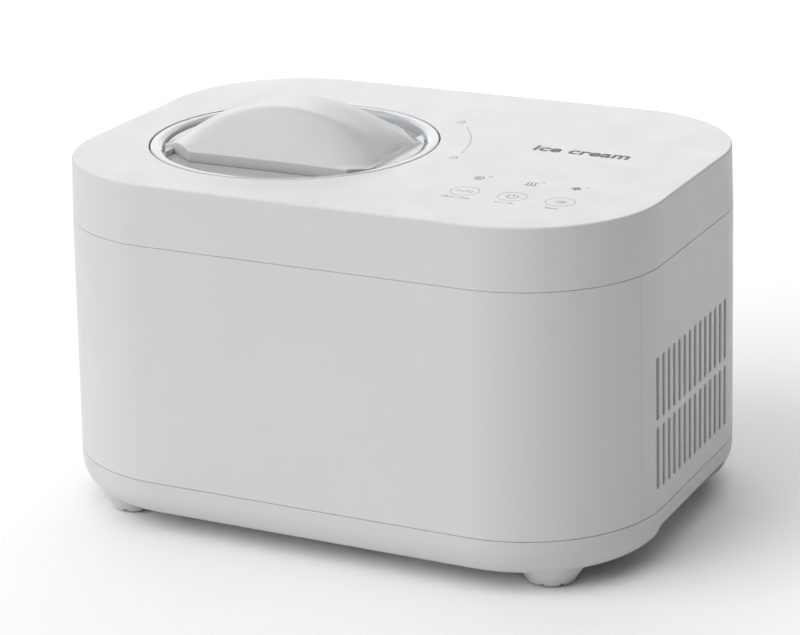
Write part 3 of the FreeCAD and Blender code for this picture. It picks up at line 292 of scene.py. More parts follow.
def ink(name, color):
    make = Nodes(name)
    make.tint(make.spread(make.noise(900, 3), 0, 1), shade(color, 0.9), shade(color, 1.1))
    make.bump(make.noise(1800, 2), 0.1, 0.00003)
    return make.settle(Roughness=0.5)


def circuit_board(name):
    """Green lacquer over faint square tracks."""
    make = Nodes(name)
    tracks = make.add("ShaderNodeTexBrick")
    tracks.inputs["Scale"].default_value = 180
    tracks.inputs["Mortar Size"].default_value = 0.06
    make.link(make.place, tracks.inputs["Vector"])
    make.tint(tracks.outputs["Fac"], (0.015, 0.11, 0.05), (0.03, 0.19, 0.09))
    make.bump(tracks.outputs["Fac"], 0.2, 0.0001)
    return make.settle(Roughness=0.35)


def foam(name, color):
    make = Nodes(name)
    cells = make.add("ShaderNodeTexVoronoi")
    cells.inputs["Scale"].default_value = 420
    make.link(make.place, cells.inputs["Vector"])
    make.tint(make.spread(cells.outputs["Distance"], 0, 1), shade(color, 0.8), color)
    make.bump(cells.outputs["Distance"], 0.5, 0.0005)
    return make.settle(Roughness=0.9)


WHITE = (0.635, 0.65, 0.64)
CASE = plastic("case_plastic", WHITE)
BASE = plastic("base_plastic", shade(WHITE, 0.97), rough=(0.42, 0.52))
# The handle's plastic is the case's white made 7 per cent darker: painted shade for the vault, which gets
# less light than the top.
SHADE_DARKENED_HANDLE = plastic("handle_plastic", shade(WHITE, 0.93), rough=(0.32, 0.4), grain=0.08)
RING = clear("clear_plastic", (0.86, 0.885, 0.91), 0.45, 0.05)
SMOKE = clear("smoke_plastic", (0.66, 0.68, 0.68), 0.35, 0.07)
DARK = plastic("dark_plastic", (0.035, 0.036, 0.038), rough=(0.4, 0.55), vary=0.8)
GEAR = plastic("gear_plastic", (0.78, 0.75, 0.66), rough=(0.4, 0.5), vary=0.96)
NYLON = plastic("nylon", (0.80, 0.79, 0.74), rough=(0.4, 0.5), vary=0.96)
PADDLE = plastic("paddle_plastic", (0.72, 0.75, 0.77), rough=(0.3, 0.42), vary=0.97)
RUBBER = rubber("foot_rubber", (0.30, 0.31, 0.31))
SEAL = rubber("seal_rubber", (0.45, 0.46, 0.47), (0.45, 0.6))
ALUMINIUM = metal("bowl_aluminium", (0.80, 0.81, 0.82))
# The fins' near-black colour is painted shade: it stands in for the dark seen through the side vents.
VENT_SHADE_FINS = metal("fin_aluminium", (0.10, 0.105, 0.105), (0.45, 0.6), (1, 40, 1))
STEEL = metal("steel", (0.60, 0.61, 0.63), (0.2, 0.35), (1, 1, 40))
ZINC = metal("zinc", (0.62, 0.62, 0.59), (0.3, 0.5), (1, 1, 1), 300)
COPPER = metal("copper", (0.72, 0.40, 0.27), (0.25, 0.42), (1, 1, 1), 160)
BRONZE = metal("bronze", (0.50, 0.37, 0.18), (0.4, 0.55), (1, 1, 1), 900, 0.2)
LAMINATION = metal("lamination", (0.25, 0.26, 0.28), (0.4, 0.55), (1, 1, 90), 30, 0.3)
BLACK_STEEL = plastic("black_steel", (0.018, 0.018, 0.02), (0.22, 0.36), 0.3, 500, 0.7)
BOARD = circuit_board("board")
FOAM = foam("foam", (0.78, 0.68, 0.42))
INK = ink("ink", (0.115, 0.12, 0.125))
DARK_INK = ink("dark_ink", (0.05, 0.062, 0.068))

SLOT_MATERIALS = {
    "case_plastic": CASE, "base_plastic": BASE, "foot_rubber": RUBBER, "clear_plastic": RING,
    "smoke_plastic": SMOKE, "handle_plastic": SHADE_DARKENED_HANDLE, "seal_rubber": SEAL, "bowl_aluminium": ALUMINIUM,
    "paddle_plastic": PADDLE, "nylon": NYLON, "dark_plastic": DARK, "foam": FOAM, "copper": COPPER,
    "steel": STEEL, "black_steel": BLACK_STEEL, "lamination": LAMINATION, "fin_aluminium": VENT_SHADE_FINS,
    "gear_plastic": GEAR, "zinc": ZINC, "board": BOARD, "bronze": BRONZE,
}


def paint_cad_nodes():
    for part in frame["record"]["subparts"]:
        obj = frame["nodes"][part["node"]]
        material = SLOT_MATERIALS[part["material_slot"]]
        if not obj.data.materials:
            obj.data.materials.append(material)
        for index in range(len(obj.data.materials)):
            obj.data.materials[index] = material


# ---------------------------------------------------------------- the case's plan

def lean(z):
    """How far the case's outline stands out from its outline at the upper seam."""
    if z > LEVEL_HIGH:
        return -TOP_INSET * (z - LEVEL_HIGH) / (TOP - LEVEL_HIGH)
    return FLARE * min(1, (LEVEL_HIGH - z) / (LEVEL_HIGH - LEVEL_LOW))


def corner_stop(number, share):
    """A point of the outline on corner arc 0 to 3, share 0 to 1 along it, for any offset."""
    side_x, side_y = [(1, 1), (-1, 1), (-1, -1), (1, -1)][number % 4]
    centre = Vector((side_x * (HALF_X - CORNER), side_y * (HALF_Y - CORNER)))
    angle = math.pi / 2 * (number + share)
    way = Vector((math.cos(angle), math.sin(angle)))
    return lambda offset: centre + way * (CORNER + offset)


def split_stop(side, gap=0.0):
    """The point where the outline crosses the front shell's seam, on the right or left."""
    centre = Vector((side * (HALF_X - CORNER), -(HALF_Y - CORNER)))

    def stop(offset):
        radius = CORNER + offset
        drop = SPLIT_Y + gap - centre.y
        return Vector((centre.x + side * math.sqrt(radius ** 2 - drop ** 2), centre.y + drop))
    return stop


def between(first, last, share):
    return lambda offset: first(offset).lerp(last(offset), share)


CORNER_STEPS = 28
SIDE_STEPS = 12


def straight_stops(number):
    """Stops along the straight side that follows corner 0 to 3, without its ends."""
    start, end = corner_stop(number, 1), corner_stop(number + 1, 0)
    return [between(start, end, step / SIDE_STEPS) for step in range(1, SIDE_STEPS)]


def corner_stops(number):
    return [corner_stop(number, step / CORNER_STEPS) for step in range(CORNER_STEPS + 1)]


def outline_stops():
    """Stops all round the outline."""
    stops = []
    for number in range(4):
        stops += corner_stops(number) + straight_stops(number)
    return stops


def at(stop, offset, z):
    place = stop(offset)
    return Vector((place.x, place.y, z))


def quarter(centre_a, centre_b, radius, start, end, steps=4):
    """Points of an arc in (offset, height), angles in degrees."""
    points = []
    for step in range(steps + 1):
        angle = math.radians(start + (end - start) * step / steps)
        points.append((centre_a + radius * math.cos(angle), centre_b + radius * math.sin(angle)))
    return points


def build_top_cover():
    """The top cover: side wall, flat top and the round well that the lid drops into."""
    stops = outline_stops()
    inner = -(WALL + 1.5 * MM)
    lip = -(WALL + 0.1 * MM)
    low = LEVEL_HIGH
    side = [(inner, low - 5 * MM), (lip, low - 5 * MM), (lip, low + SEAM_GAP)]
    side += quarter(-SEAM_ROUND, low + SEAM_GAP + SEAM_ROUND, SEAM_ROUND, -90, 0)
    side += [(lean(low + 1.5 * MM), low + 1.5 * MM), (lean(TOP - 3 * MM), TOP - 3 * MM)]
    side += quarter(-TOP_INSET - TOP_ROUND, TOP - TOP_ROUND, TOP_ROUND, 0, 90, 5)
    side += [(-TOP_INSET - TOP_ROUND - 2 * MM, TOP)]
    rings = [[at(stop, offset, z) for stop in stops] for offset, z in side]
    angles = []
    for stop in stops:
        way = stop(-TOP_INSET - 4 * MM) - LID
        angles.append(math.atan2(way.y, way.x))

    def round_ring(radius, z):
        return [Vector((LID.x + radius * math.cos(a), LID.y + radius * math.sin(a), z)) for a in angles]

    edge = 0.5 * MM
    ledge_low = LEDGE_TOP - LEDGE_THICK
    well = [(HOLE + 3 * MM, TOP)] + quarter(HOLE + edge, TOP - edge, edge, 90, 180)
    well += [(HOLE, LEDGE_TOP + 1 * MM), (HOLE, LEDGE_TOP), (LEDGE, LEDGE_TOP), (LEDGE, ledge_low),
             (HOLE + WALL, ledge_low), (HOLE + WALL, TOP - WALL)]
    rings += [round_ring(radius, z) for radius, z in well]
    rings.append([at(stop, inner, TOP - WALL) for stop in stops])
    points, faces = skin(rings, close=True)
    return make_object("top_cover_shell", points, faces, "housing", CASE, ["top_cover"])


def wall_profile(low, high):
    """Cross-section of the side wall between the seams, with eased outer edges."""
    bottom, top = low + SEAM_GAP / 2, high
    profile = [(lean(bottom) - WALL, bottom)]
    profile += quarter(lean(bottom) - SEAM_ROUND, bottom + SEAM_ROUND, SEAM_ROUND, -90, 0)
    profile += quarter(lean(top) - SEAM_ROUND, top - SEAM_ROUND, SEAM_ROUND, 0, 90)
    profile += [(lean(top) - WALL, top)]
    return profile


def swept_wall(stops, end_stops):
    """A wall swept along part of the outline; its two ends are eased towards the seam."""
    profile = wall_profile(LEVEL_LOW, LEVEL_HIGH)
    eased = []
    for index, (offset, z) in enumerate(profile):
        inward = SEAM_ROUND if 0 < index < len(profile) - 1 else 0
        eased.append((offset - inward, z))
    stations = [[at(end_stops[0], offset, z) for offset, z in eased]]
    stations += [[at(stop, offset, z) for offset, z in profile] for stop in stops]
    stations += [[at(end_stops[1], offset, z) for offset, z in eased]]
    points, faces = skin(stations)
    count = len(profile)
    faces.append(tuple(range(count)))
    faces.append(tuple(len(points) - 1 - index for index in range(count)))
    return points, faces


def blend_corner(number, near):
    """Stops on a front corner arc, from the seam to the front face or from the side face to the seam."""
    limit = math.asin((-(HALF_Y - CORNER) - SPLIT_Y) / CORNER) / (math.pi / 2)
    shares = []
    steps = CORNER_STEPS
    for step in range(steps + 1):
        share = step / steps
        away = 1 - share if number == 3 else share
        if near == "front" and away > limit + 0.01:
            shares.append(share)
        if near == "side" and away < limit - 0.01:
            shares.append(share)
    return [corner_stop(number, share) for share in shares]


def build_front_shell():
    """The front face and the front parts of both front corners, up to the upright seams."""
    gap = SEAM_GAP / 2
    stops = [split_stop(-1, -gap - SEAM_ROUND)]
    stops += blend_corner(2, "front")
    stops += straight_stops(2)
    stops += blend_corner(3, "front")
    stops += [split_stop(1, -gap - SEAM_ROUND)]
    points, faces = swept_wall(stops, (split_stop(-1, -gap), split_stop(1, -gap)))
    return make_object("front_shell_skin", points, faces, "housing", CASE, ["front_shell"])


SLOT_WIDTH = 4.2 * MM
SLOT_PITCH = 9 * MM
SLOT_FIRST = -62.2 * MM
SLOT_COUNT = 14
SLOT_LENGTH = 39.8 * MM
SLOT_LOWS = (50.4 * MM, 94.6 * MM)
GLAND_HOLE = 7.1 * MM


def slot_cutter(side, y, low):
    """A capsule that cuts one vent and eases its outer edge."""
    layers = [(-14 * MM, 0), (-0.55 * MM, 0), (0.0, 0.4 * MM), (2 * MM, 1.9 * MM)]
    rings = []
    for depth, swell in layers:
        radius = SLOT_WIDTH / 2 + swell
        ring = []
        for centre, start in ((low + SLOT_LENGTH - SLOT_WIDTH / 2, 0), (low + SLOT_WIDTH / 2, 180)):
            for step in range(11):
                angle = math.radians(start + 18 * step)
                z = centre + radius * math.sin(angle)
                x = side * (HALF_X + lean(z) + depth)
                ring.append(Vector((x, y + radius * math.cos(angle), z)))
        rings.append(ring)
    points, faces = skin(rings)
    count = len(rings[0])
    faces.append(tuple(range(count)))
    faces.append(tuple(len(points) - 1 - index for index in range(count)))
    return points, faces


def plain_object(name, points, faces):
    """A closed mesh in the scene with its faces turned outwards."""
    mesh = bpy.data.meshes.new(name)
    mesh.from_pydata([tuple(point) for point in points], [], faces)
    shape = bmesh.new()
    shape.from_mesh(mesh)
    bmesh.ops.recalc_face_normals(shape, faces=shape.faces)
    shape.to_mesh(mesh)
    shape.free()
    obj = bpy.data.objects.new(name, mesh)
    bpy.context.scene.collection.objects.link(obj)
    return obj


def cut_by(target, points, faces):
    """Cut a closed mesh out of another and keep the result as plain mesh."""
    cutter = plain_object("cutter", points, faces)
    modifier = target.modifiers.new("Cut", "BOOLEAN")
    modifier.operation = "DIFFERENCE"
    modifier.solver = "EXACT"
    modifier.object = cutter
    bpy.context.view_layer.update()
    graph = bpy.context.evaluated_depsgraph_get()
    result = bpy.data.meshes.new_from_object(target.evaluated_get(graph))
    target.modifiers.clear()
    target.data = result
    bpy.data.objects.remove(cutter)


def gland_cutter():
    """A round bar through the back wall where the cord gland sits."""
    low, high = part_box("cord_gland")
    hole = ((low.x + high.x) / 2, (low.z + high.z) / 2)
    rings = [[Vector((x, y, z)) for x, z in arc_path(hole, GLAND_HOLE, 0, 352.5, 47)]
             for y in (low.y, high.y + 10 * MM)]
    points, faces = skin(rings)
    count = len(rings[0])
    return points, faces + [tuple(range(count)), tuple(range(count, 2 * count))]


def build_rear_shell():
    """Sides and back, with two rows of vents in each side and the gland's hole in the back."""
    gap = SEAM_GAP / 2
    stops = [split_stop(1, gap + SEAM_ROUND)]
    stops += blend_corner(3, "side")
    for number in (0, 1):
        stops += corner_stops(number)
    stops += blend_corner(2, "side")
    stops += [split_stop(-1, gap + SEAM_ROUND)]
    points, faces = swept_wall(stops, (split_stop(1, gap), split_stop(-1, gap)))
    shell = plain_object("rear_shell_skin", points, faces)
    cutters = []
    for side in (-1, 1):
        for low in SLOT_LOWS:
            for number in range(SLOT_COUNT):
                cutters.append(slot_cutter(side, SLOT_FIRST + number * SLOT_PITCH, low))
    cutters.append(gland_cutter())
    cut_by(shell, *merge(*cutters))
    return dress(shell, "housing", CASE, ["rear_shell"])


INTAKE_TOP = 25 * MM
INTAKE_INNER = 162 * MM
INTAKE_SHARES = ((0.0245, True, True), (0.0265, False, True), (0.055, False, True), (0.06, False, False))
INTAKE_END = 0.062


def tray_stops():
    """Stops round the tray; each says whether its underside and its floor rise for the air intake."""
    plain = [step / CORNER_STEPS for step in range(1, CORNER_STEPS)]
    stops = []
    for number in range(4):
        shares = [(share, False, False) for share in [0] + plain + [1]]
        if number == 0:
            shares = [(0, True, True)] + list(INTAKE_SHARES)
            shares += [(share, False, False) for share in plain + [1] if share > INTAKE_END]
        if number == 3:
            shares = [(share, False, False) for share in [0] + plain if share < 1 - INTAKE_END]
            shares += [(1 - share, under, floor) for share, under, floor in reversed(INTAKE_SHARES)]
            shares += [(1, True, True)]
        stops += [(corner_stop(number, share), under, floor) for share, under, floor in shares]
        raised = number == 3
        stops += [(stop, raised, raised) for stop in straight_stops(number)]
    return stops


PLUG = (64 * MM, -88 * MM)


def build_base_tray():
    """The tray: deep rounding, raised air intake on the right, feet, front tab and a round plug."""
    stops = tray_stops()
    out = FLARE
    step_in = INTAKE_INNER - HALF_X
    profile = [(out - 4 * MM, LEVEL_LOW + 4 * MM), (out - WALL - 0.2 * MM, LEVEL_LOW + 4 * MM),
               (out - WALL - 0.2 * MM, LEVEL_LOW - SEAM_GAP)]
    profile += quarter(out - SEAM_ROUND, LEVEL_LOW - SEAM_GAP - SEAM_ROUND, SEAM_ROUND, 90, 0)
    profile += [(out, LEVEL_LOW - 2 * MM)]
    profile += quarter(out - BASE_ROUND, UNDER + BASE_ROUND, BASE_ROUND, 0, -90, 22)
    middle, step_half = out - 88 * MM, 0.05 * MM
    profile += [(out - BASE_ROUND - 3 * MM, UNDER), (step_in + step_half, UNDER),
                (step_in - step_half, UNDER), (out - 50 * MM, UNDER), (middle, UNDER)]
    floor_in = step_in - WALL
    inner = [(middle, UNDER + WALL), (out - 50 * MM, UNDER + WALL),
             (floor_in - step_half, UNDER + WALL), (floor_in + step_half, UNDER + WALL)]
    inner += quarter(out - BASE_ROUND, UNDER + BASE_ROUND, BASE_ROUND - 4 * MM, -90, 0, 8)
    rings = []
    for offset, z in profile:
        lift = INTAKE_TOP if offset > step_in else z
        rings.append([at(stop, offset, max(z, lift) if under else z) for stop, under, floor in stops])
    for offset, z in inner:
        lift = INTAKE_TOP + WALL if offset > floor_in else z
        rings.append([at(stop, offset, max(z, lift) if floor else z) for stop, under, floor in stops])
    outside = len(profile)
    points, faces = skin(rings, close=True)
    count = len(stops)
    faces = [face for face in faces
             if not (min(face) // count == outside - 1 and max(face) // count == outside)]
    for row in (outside - 1, outside):
        faces.append(tuple(row * count + index for index in range(count)))
    parts = [(points, faces)]
    for x, y in FEET:
        parts.append(foot_boss(x, y))
    parts.append(small_tab())
    plug_low, plug_high = UNDER - 3.5 * MM, UNDER + 1 * MM
    plug = rounded([(AXIS, plug_high), (10 * MM, plug_high), (9.4 * MM, plug_low), (AXIS, plug_low)],
                   [0, 0, 0.8 * MM, 0])
    parts.append(turn_about(plug, PLUG, 48))
    points, faces = merge(*parts)
    return make_object("base_tray_skin", points, faces, "housing", BASE, ["base_tray"])


PAD_RADIUS = 12 * MM
PAD_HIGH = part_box("foot_pads")[1]
FEET = [(x * (PAD_HIGH.x - PAD_RADIUS), y * (PAD_HIGH.y - PAD_RADIUS)) for x, y in
        ((-1, -1), (1, -1), (1, 1), (-1, 1))]


def foot_boss(x, y):
    """A moulded foot: a flared collar that narrows to a notched rim round the rubber pad."""
    low = 1.3 * MM
    profile = [(22.8 * MM, UNDER + 5.6 * MM), (21.6 * MM, UNDER + 2.4 * MM), (20.3 * MM, UNDER - 0.6 * MM),
               (18.6 * MM, UNDER - 3.2 * MM), (17.0 * MM, UNDER - 5.6 * MM), (16.2 * MM, low + 1.6 * MM),
               (15.7 * MM, low + 0.5 * MM), (15.2 * MM, low), (12.6 * MM, low), (12.2 * MM, low + 0.4 * MM),
               (12.2 * MM, UNDER + 1.2 * MM)]
    steps = 72
    points, faces = turn_about(profile, (x, y), steps)
    count = len(profile)
    for row in range(steps):
        if row % 9 in (0, 1):
            for column in (5, 6, 7, 8):
                points[row * count + column].z += 1.0 * MM
    return points, faces


def small_tab():
    """A latch tab under the front edge."""
    low, high = UNDER - 3.5 * MM, UNDER + 1 * MM
    rings = []
    for z, inset in ((high, 0), (low + 0.6 * MM, 0.4 * MM), (low, 1 * MM)):
        x0, x1, y0, y1 = 12 * MM + inset, 32 * MM - inset, -120 * MM + inset, -111 * MM - inset
        rings.append([Vector((x0, y0, z)), Vector((x1, y0, z)), Vector((x1, y1, z)), Vector((x0, y1, z))])
    points, faces = skin(rings)
    faces += [(0, 1, 2, 3), (11, 10, 9, 8)]
    return points, faces


def build_foot_pads():
    """Rubber pads with a ring groove in the sole."""
    parts = []
    for x, y in FEET:
        profile = rounded([(AXIS, PAD_HIGH.z), (PAD_RADIUS, PAD_HIGH.z), (PAD_RADIUS, 0), (9 * MM, 0),
                           (8.6 * MM, 0.6 * MM), (7.4 * MM, 0.6 * MM), (7 * MM, 0), (AXIS, 0)],
                          [0, 0, 0.5 * MM, 0.2 * MM, 0.2 * MM, 0.2 * MM, 0.2 * MM, 0])
        parts.append(turn_about(profile, (x, y), 48))
    points, faces = merge(*parts)
    return make_object("foot_pad_set", points, faces, "housing", RUBBER, ["foot_pads"])


# ---------------------------------------------------------------- lid

def build_lid_ring():
    """The clear ring: a softly domed top with a step down to the window."""
    low = RING_LOW.z
    inner = WINDOW_RADIUS + 0.1 * MM
    profile = [(LID_RADIUS, low), (LID_RADIUS, TOP - 0.9 * MM), (LID_RADIUS - 0.5 * MM, TOP - 0.25 * MM),
               (LID_RADIUS - 1.4 * MM, TOP), (LID_RADIUS - 4.2 * MM, TOP - 0.05 * MM),
               (inner + 2.4 * MM, TOP - 0.5 * MM), (inner + 0.7 * MM, TOP - 1.4 * MM),
               (inner + 0.1 * MM, TOP - 2.6 * MM), (inner, WINDOW_LOW.z), (SEAT, WINDOW_LOW.z), (SEAT, low)]
    profile = rounded(profile, [0.3 * MM] * 9 + [0.2 * MM] * 2, 2)
    points, faces = turn_about(profile, LID, 192)
    return make_object("lid_ring_clear", points, faces, "lid", RING, ["lid_ring"], 40)


def build_lid_window():
    profile = rounded([(AXIS, WINDOW_LOW.z), (WINDOW_RADIUS, WINDOW_LOW.z),
                       (WINDOW_RADIUS, WINDOW_HIGH.z), (AXIS, WINDOW_HIGH.z)],
                      [0, 0.3 * MM, 0.3 * MM, 0], 2)
    points, faces = turn_about(profile, LID, 192)
    return make_object("lid_window_smoke", points, faces, "lid", SMOKE, ["lid_window"], 40)


ARCH_TALL = HANDLE_HIGH.z - TOP
ARCH_BOW = 115 * MM
ARCH_REACH = math.sqrt(ARCH_BOW ** 2 - (ARCH_BOW - ARCH_TALL) ** 2)
PLATE_RADIUS = (HANDLE_HIGH.x - HANDLE_LOW.x) / 2
PLATE_HALF = (HANDLE_HIGH.y - HANDLE_LOW.y) / 2
CREST_HALF = 21 * MM
LAND = -2.5 * MM
FAR_HALF = 62.5 * MM
FACET = Vector((66.5 * MM, 37.5 * MM))
FACET_FRONT = 47 * MM
NOTCH = Vector((65 * MM, 29.5 * MM))
NOTCH_FRONT = 38 * MM
EDGE_TALL = 0.9 * MM


def soft_least(a, b, width):
    """The smaller of two heights with a rounded change-over."""
    if width <= 0:
        return min(a, b)
    share = max(0, min(1, 0.5 + 0.5 * (b - a) / width))
    return b * (1 - share) + a * share - width * share * (1 - share)


def arch(x):
    x = min(abs(x), ARCH_REACH * 1.2)
    return math.sqrt(ARCH_BOW ** 2 - x ** 2) - (ARCH_BOW - ARCH_TALL)


def handle_height(x, y):
    """Height of the vault over the lid's plane: a crest along X with slopes to the front and back."""
    share = (abs(y) - CREST_HALF) / (PLATE_HALF - CREST_HALF)
    shrink = 1 - max(0, share) * (1 - FAR_HALF / ARCH_REACH)
    crest = arch(x)
    slope = (1 - share) * arch(x / shrink) + share * EDGE_TALL
    if share > 0.9:
        slope = max(slope, 0)
    if crest <= 0:
        height = crest
    else:
        height = soft_least(crest, max(slope, -1 * MM), min(6 * MM, 0.55 * crest))
    return -soft_least(-max(height, LAND - 1 * MM), -LAND, 0.8 * MM)


def handle_reach(y):
    """How far the handle's outline reaches to the left and right at one distance from its middle."""
    left = right = math.sqrt(PLATE_RADIUS ** 2 - y ** 2)
    if -y > FACET.y:
        left = FACET.x + (FACET_FRONT - FACET.x) * min(1, (-y - FACET.y) / (PLATE_HALF - FACET.y))
    if y > NOTCH.y:
        right = NOTCH.x + (NOTCH_FRONT - NOTCH.x) * min(1, (y - NOTCH.y) / (PLATE_HALF - NOTCH.y))
    return -left, right


def handle_tongue(side, inner, start):
    """The low land beside a cut-out, between its upright wall and the plate's round rim."""
    rim = PLATE_RADIUS - 0.05 * MM
    ends = math.asin(start / rim), math.acos(inner / rim)
    outline = [(inner, start)]
    outline += [(rim * math.cos(angle), rim * math.sin(angle))
                for angle in (ends[0] + (ends[1] - ends[0]) * step / 10 for step in range(11))]
    middle = (sum(x for x, y in outline) / len(outline), sum(y for x, y in outline) / len(outline))
    levels = ((1, HANDLE_LOW.z + 0.1 * MM), (1, TOP + LAND - 0.5 * MM), (0.96, TOP + LAND))
    rings = [[Vector((LID.x + side * (middle[0] + (x - middle[0]) * share),
                      LID.y + side * (middle[1] + (y - middle[1]) * share), z)) for x, y in outline]
             for share, z in levels]
    points, faces = skin(rings)
    count = len(outline)
    faces += [tuple(range(count)), tuple(range(2 * count, 3 * count))]
    return points, faces


def build_handle():
    """The white handle: vault, eased rim, upright band and flat underside."""
    across, along = 120, 84
    ease = 0.8 * MM
    rows = sorted([(row / along * 2 - 1) * (PLATE_HALF - ease) for row in range(along + 1)]
                  + [-FACET.y - 0.3 * MM, -FACET.y + 0.05 * MM, NOTCH.y - 0.05 * MM, NOTCH.y + 0.3 * MM])
    grid = []
    for y in rows:
        left, right = handle_reach(y)
        left, right = left + ease, right - ease
        line = []
        for column in range(across + 1):
            u = 0.5 + 0.5 * math.sin((column / across - 0.5) * math.pi * 0.92) / math.sin(0.46 * math.pi)
            line.append((left + (right - left) * u, y))
        grid.append(line)

    points = [Vector((LID.x + x, LID.y + y, TOP + handle_height(x, y))) for line in grid for x, y in line]
    width, last = across + 1, len(rows) - 1
    faces = []
    for row in range(last):
        for column in range(across):
            first = row * width + column
            faces.append((first, first + 1, first + width + 1, first + width))
    rim = [(0, column) for column in range(across)] + [(row, across) for row in range(last)]
    rim += [(last, column) for column in range(across, 0, -1)] + [(row, 0) for row in range(last, 0, -1)]
    places = [Vector(grid[row][column]) for row, column in rim]
    heights = [handle_height(*place) for place in places]
    outward = []
    for index in range(len(places)):
        way = places[(index + 1) % len(places)] - places[index - 1]
        outward.append(Vector((way.y, -way.x)).normalized())

    def level(out, height_of):
        return [Vector((LID.x + place.x + way.x * out, LID.y + place.y + way.y * out, height_of(height)))
                for place, way, height in zip(places, outward, heights)]

    levels = []
    for angle in (22.5, 45, 67.5, 90):
        out = ease * math.sin(math.radians(angle))
        drop = ease * (1 - math.cos(math.radians(angle)))
        levels.append(level(out, lambda height: TOP + height - drop))
    foot = HANDLE_LOW.z + 0.1 * MM
    levels.append(level(ease, lambda height: foot + 0.3 * MM))
    levels.append(level(ease - 0.3 * MM, lambda height: foot))
    previous = [row * width + column for row, column in rim]
    for ring in levels:
        start = len(points)
        points += ring
        following = list(range(start, start + len(ring)))
        for index in range(len(ring)):
            after = (index + 1) % len(ring)
            faces.append((previous[index], previous[after], following[after], following[index]))
        previous = following
    middle = len(points)
    points.append(Vector((LID.x, LID.y, foot)))
    for index in range(len(previous)):
        faces.append((previous[index], previous[(index + 1) % len(previous)], middle))
    points, faces = merge((points, faces), handle_tongue(-1, FACET.x, FACET.y - 1 * MM),
                          handle_tongue(1, NOTCH.x, NOTCH.y - 1 * MM))
    return make_object("lid_handle_vault", points, faces, "lid", SHADE_DARKENED_HANDLE,
                       ["lid_handle"], 50, False)


# ---------------------------------------------------------------- bowl

def build_bowl():
    """The bowl: thin wall, rounded foot corner, rolled rim and the tube for the shaft."""
    wall = 1.2 * MM
    outer = 74.5 * MM
    low, high = BOWL_LOW.z, BOWL_HIGH.z
    rim = (BOWL_HIGH.x - BOWL_LOW.x) / 2
    tube, tube_top = 12 * MM, 150 * MM
    centre = ((BOWL_LOW.x + BOWL_HIGH.x) / 2, (BOWL_LOW.y + BOWL_HIGH.y) / 2)
    under_rim = high - 1.4 * MM
    profile = [(tube - wall, low), (outer, low), (outer, under_rim), (rim, under_rim), (rim, high),
               (outer - wall, high), (outer - wall, low + wall), (tube, low + wall), (tube, tube_top),
               (tube - wall, tube_top)]
    rounds = [0.5 * MM, 8 * MM, 1 * MM, 0.6 * MM, 0.6 * MM, 2.2 * MM, 7 * MM, 4 * MM, 0.5 * MM, 0.5 * MM]
    points, faces = turn_about(rounded(profile, rounds, 6), centre, 144)
    return make_object("bowl_spun", points, faces, "bowl", ALUMINIUM, ["bowl"], 40)


# ---------------------------------------------------------------- printed marks

PRINT_UP = 0.04 * MM


def ribbon(path, width, closed=False):
    """A flat printed line of one width through (x, y) points on the top."""
    top = TOP + PRINT_UP
    low = top - 0.1 * MM
    places = [Vector(point) for point in path]
    count = len(places)
    left, right = [], []
    for index, here in enumerate(places):
        before = places[index - 1] if closed or index > 0 else here
        after = places[(index + 1) % count] if closed or index < count - 1 else here
        way = (after - before)
        way = way.normalized() if way.length > 0 else Vector((1, 0))
        side = Vector((-way.y, way.x)) * width / 2
        left.append(here + side)
        right.append(here - side)
    rings = []
    for a, b in zip(left, right):
        rings.append([Vector((a.x, a.y, top)), Vector((b.x, b.y, top)), Vector((b.x, b.y, low)),
                      Vector((a.x, a.y, low))])
    points, faces = skin(rings, close=closed)
    if not closed:
        faces += [(0, 1, 2, 3), tuple(len(points) - 1 - index for index in range(4))]
    return points, faces


def arc_path(centre, radius, start, end, steps=24):
    return [(centre[0] + radius * math.cos(math.radians(start + (end - start) * step / steps)),
             centre[1] + radius * math.sin(math.radians(start + (end - start) * step / steps)))
            for step in range(steps + 1)]


def shifted(centre, marks, scale=MM):
    return [(centre[0] + x * scale, centre[1] + y * scale) for x, y in marks]


def padlock(centre, is_open):
    """A small padlock, open or closed."""
    parts = [ribbon(shifted(centre, [(-2.2, -2), (2.2, -2), (2.2, 1), (-2.2, 1)]), 0.5 * MM, True)]
    lift = 1.0 if is_open else 0.0
    shackle = [(-1.4, 1), (-1.4, 2.1 + lift)]
    shackle += [(-1.4 * math.cos(math.radians(a)), 2.1 + lift + 1.4 * math.sin(math.radians(a)))
                for a in range(20, 180, 20)]
    shackle += [(1.4, 2.1 + lift), (1.4, 1.6 if is_open else 1)]
    parts.append(ribbon(shifted(centre, shackle), 0.5 * MM))
    return parts


KEY_X = [79 * MM, 109.6 * MM, 140 * MM]
KEY_Y = -78 * MM
SIGN_Y = -49 * MM
WORD_Y = -92.5 * MM


def key_marks():
    line = 0.42 * MM
    parts = []
    for x in KEY_X:
        parts.append(ribbon(arc_path((x, KEY_Y), 8.8 * MM, 0, 352.5, 47), line * 0.7, True))
    play = (KEY_X[0], KEY_Y)
    parts.append(ribbon(shifted(play, [(-4.6, -1.8), (-4.6, 1.8), (-1.6, 0)]), line, True))
    parts.append(ribbon(shifted(play, [(-0.9, -2.4), (0.9, 2.4)]), line))
    parts.append(ribbon(shifted(play, [(1.8, -1.5), (4.8, -1.5), (4.8, 1.5), (1.8, 1.5)]), line, True))
    power = (KEY_X[1], KEY_Y)
    parts.append(ribbon(arc_path(power, 3.4 * MM, 125, 415, 36), line * 1.5))
    parts.append(ribbon(shifted(power, [(0, 0.4), (0, 4.2)]), line * 1.5))
    menu = (KEY_X[2], KEY_Y)
    for y in (-1.8, 0, 1.8):
        parts.append(ribbon(shifted(menu, [(-1.6, y), (3.6, y)]), line * 1.3))
        parts.append(ribbon(shifted(menu, [(-3.4, y), (-2.7, y)]), line * 1.3))
    return parts


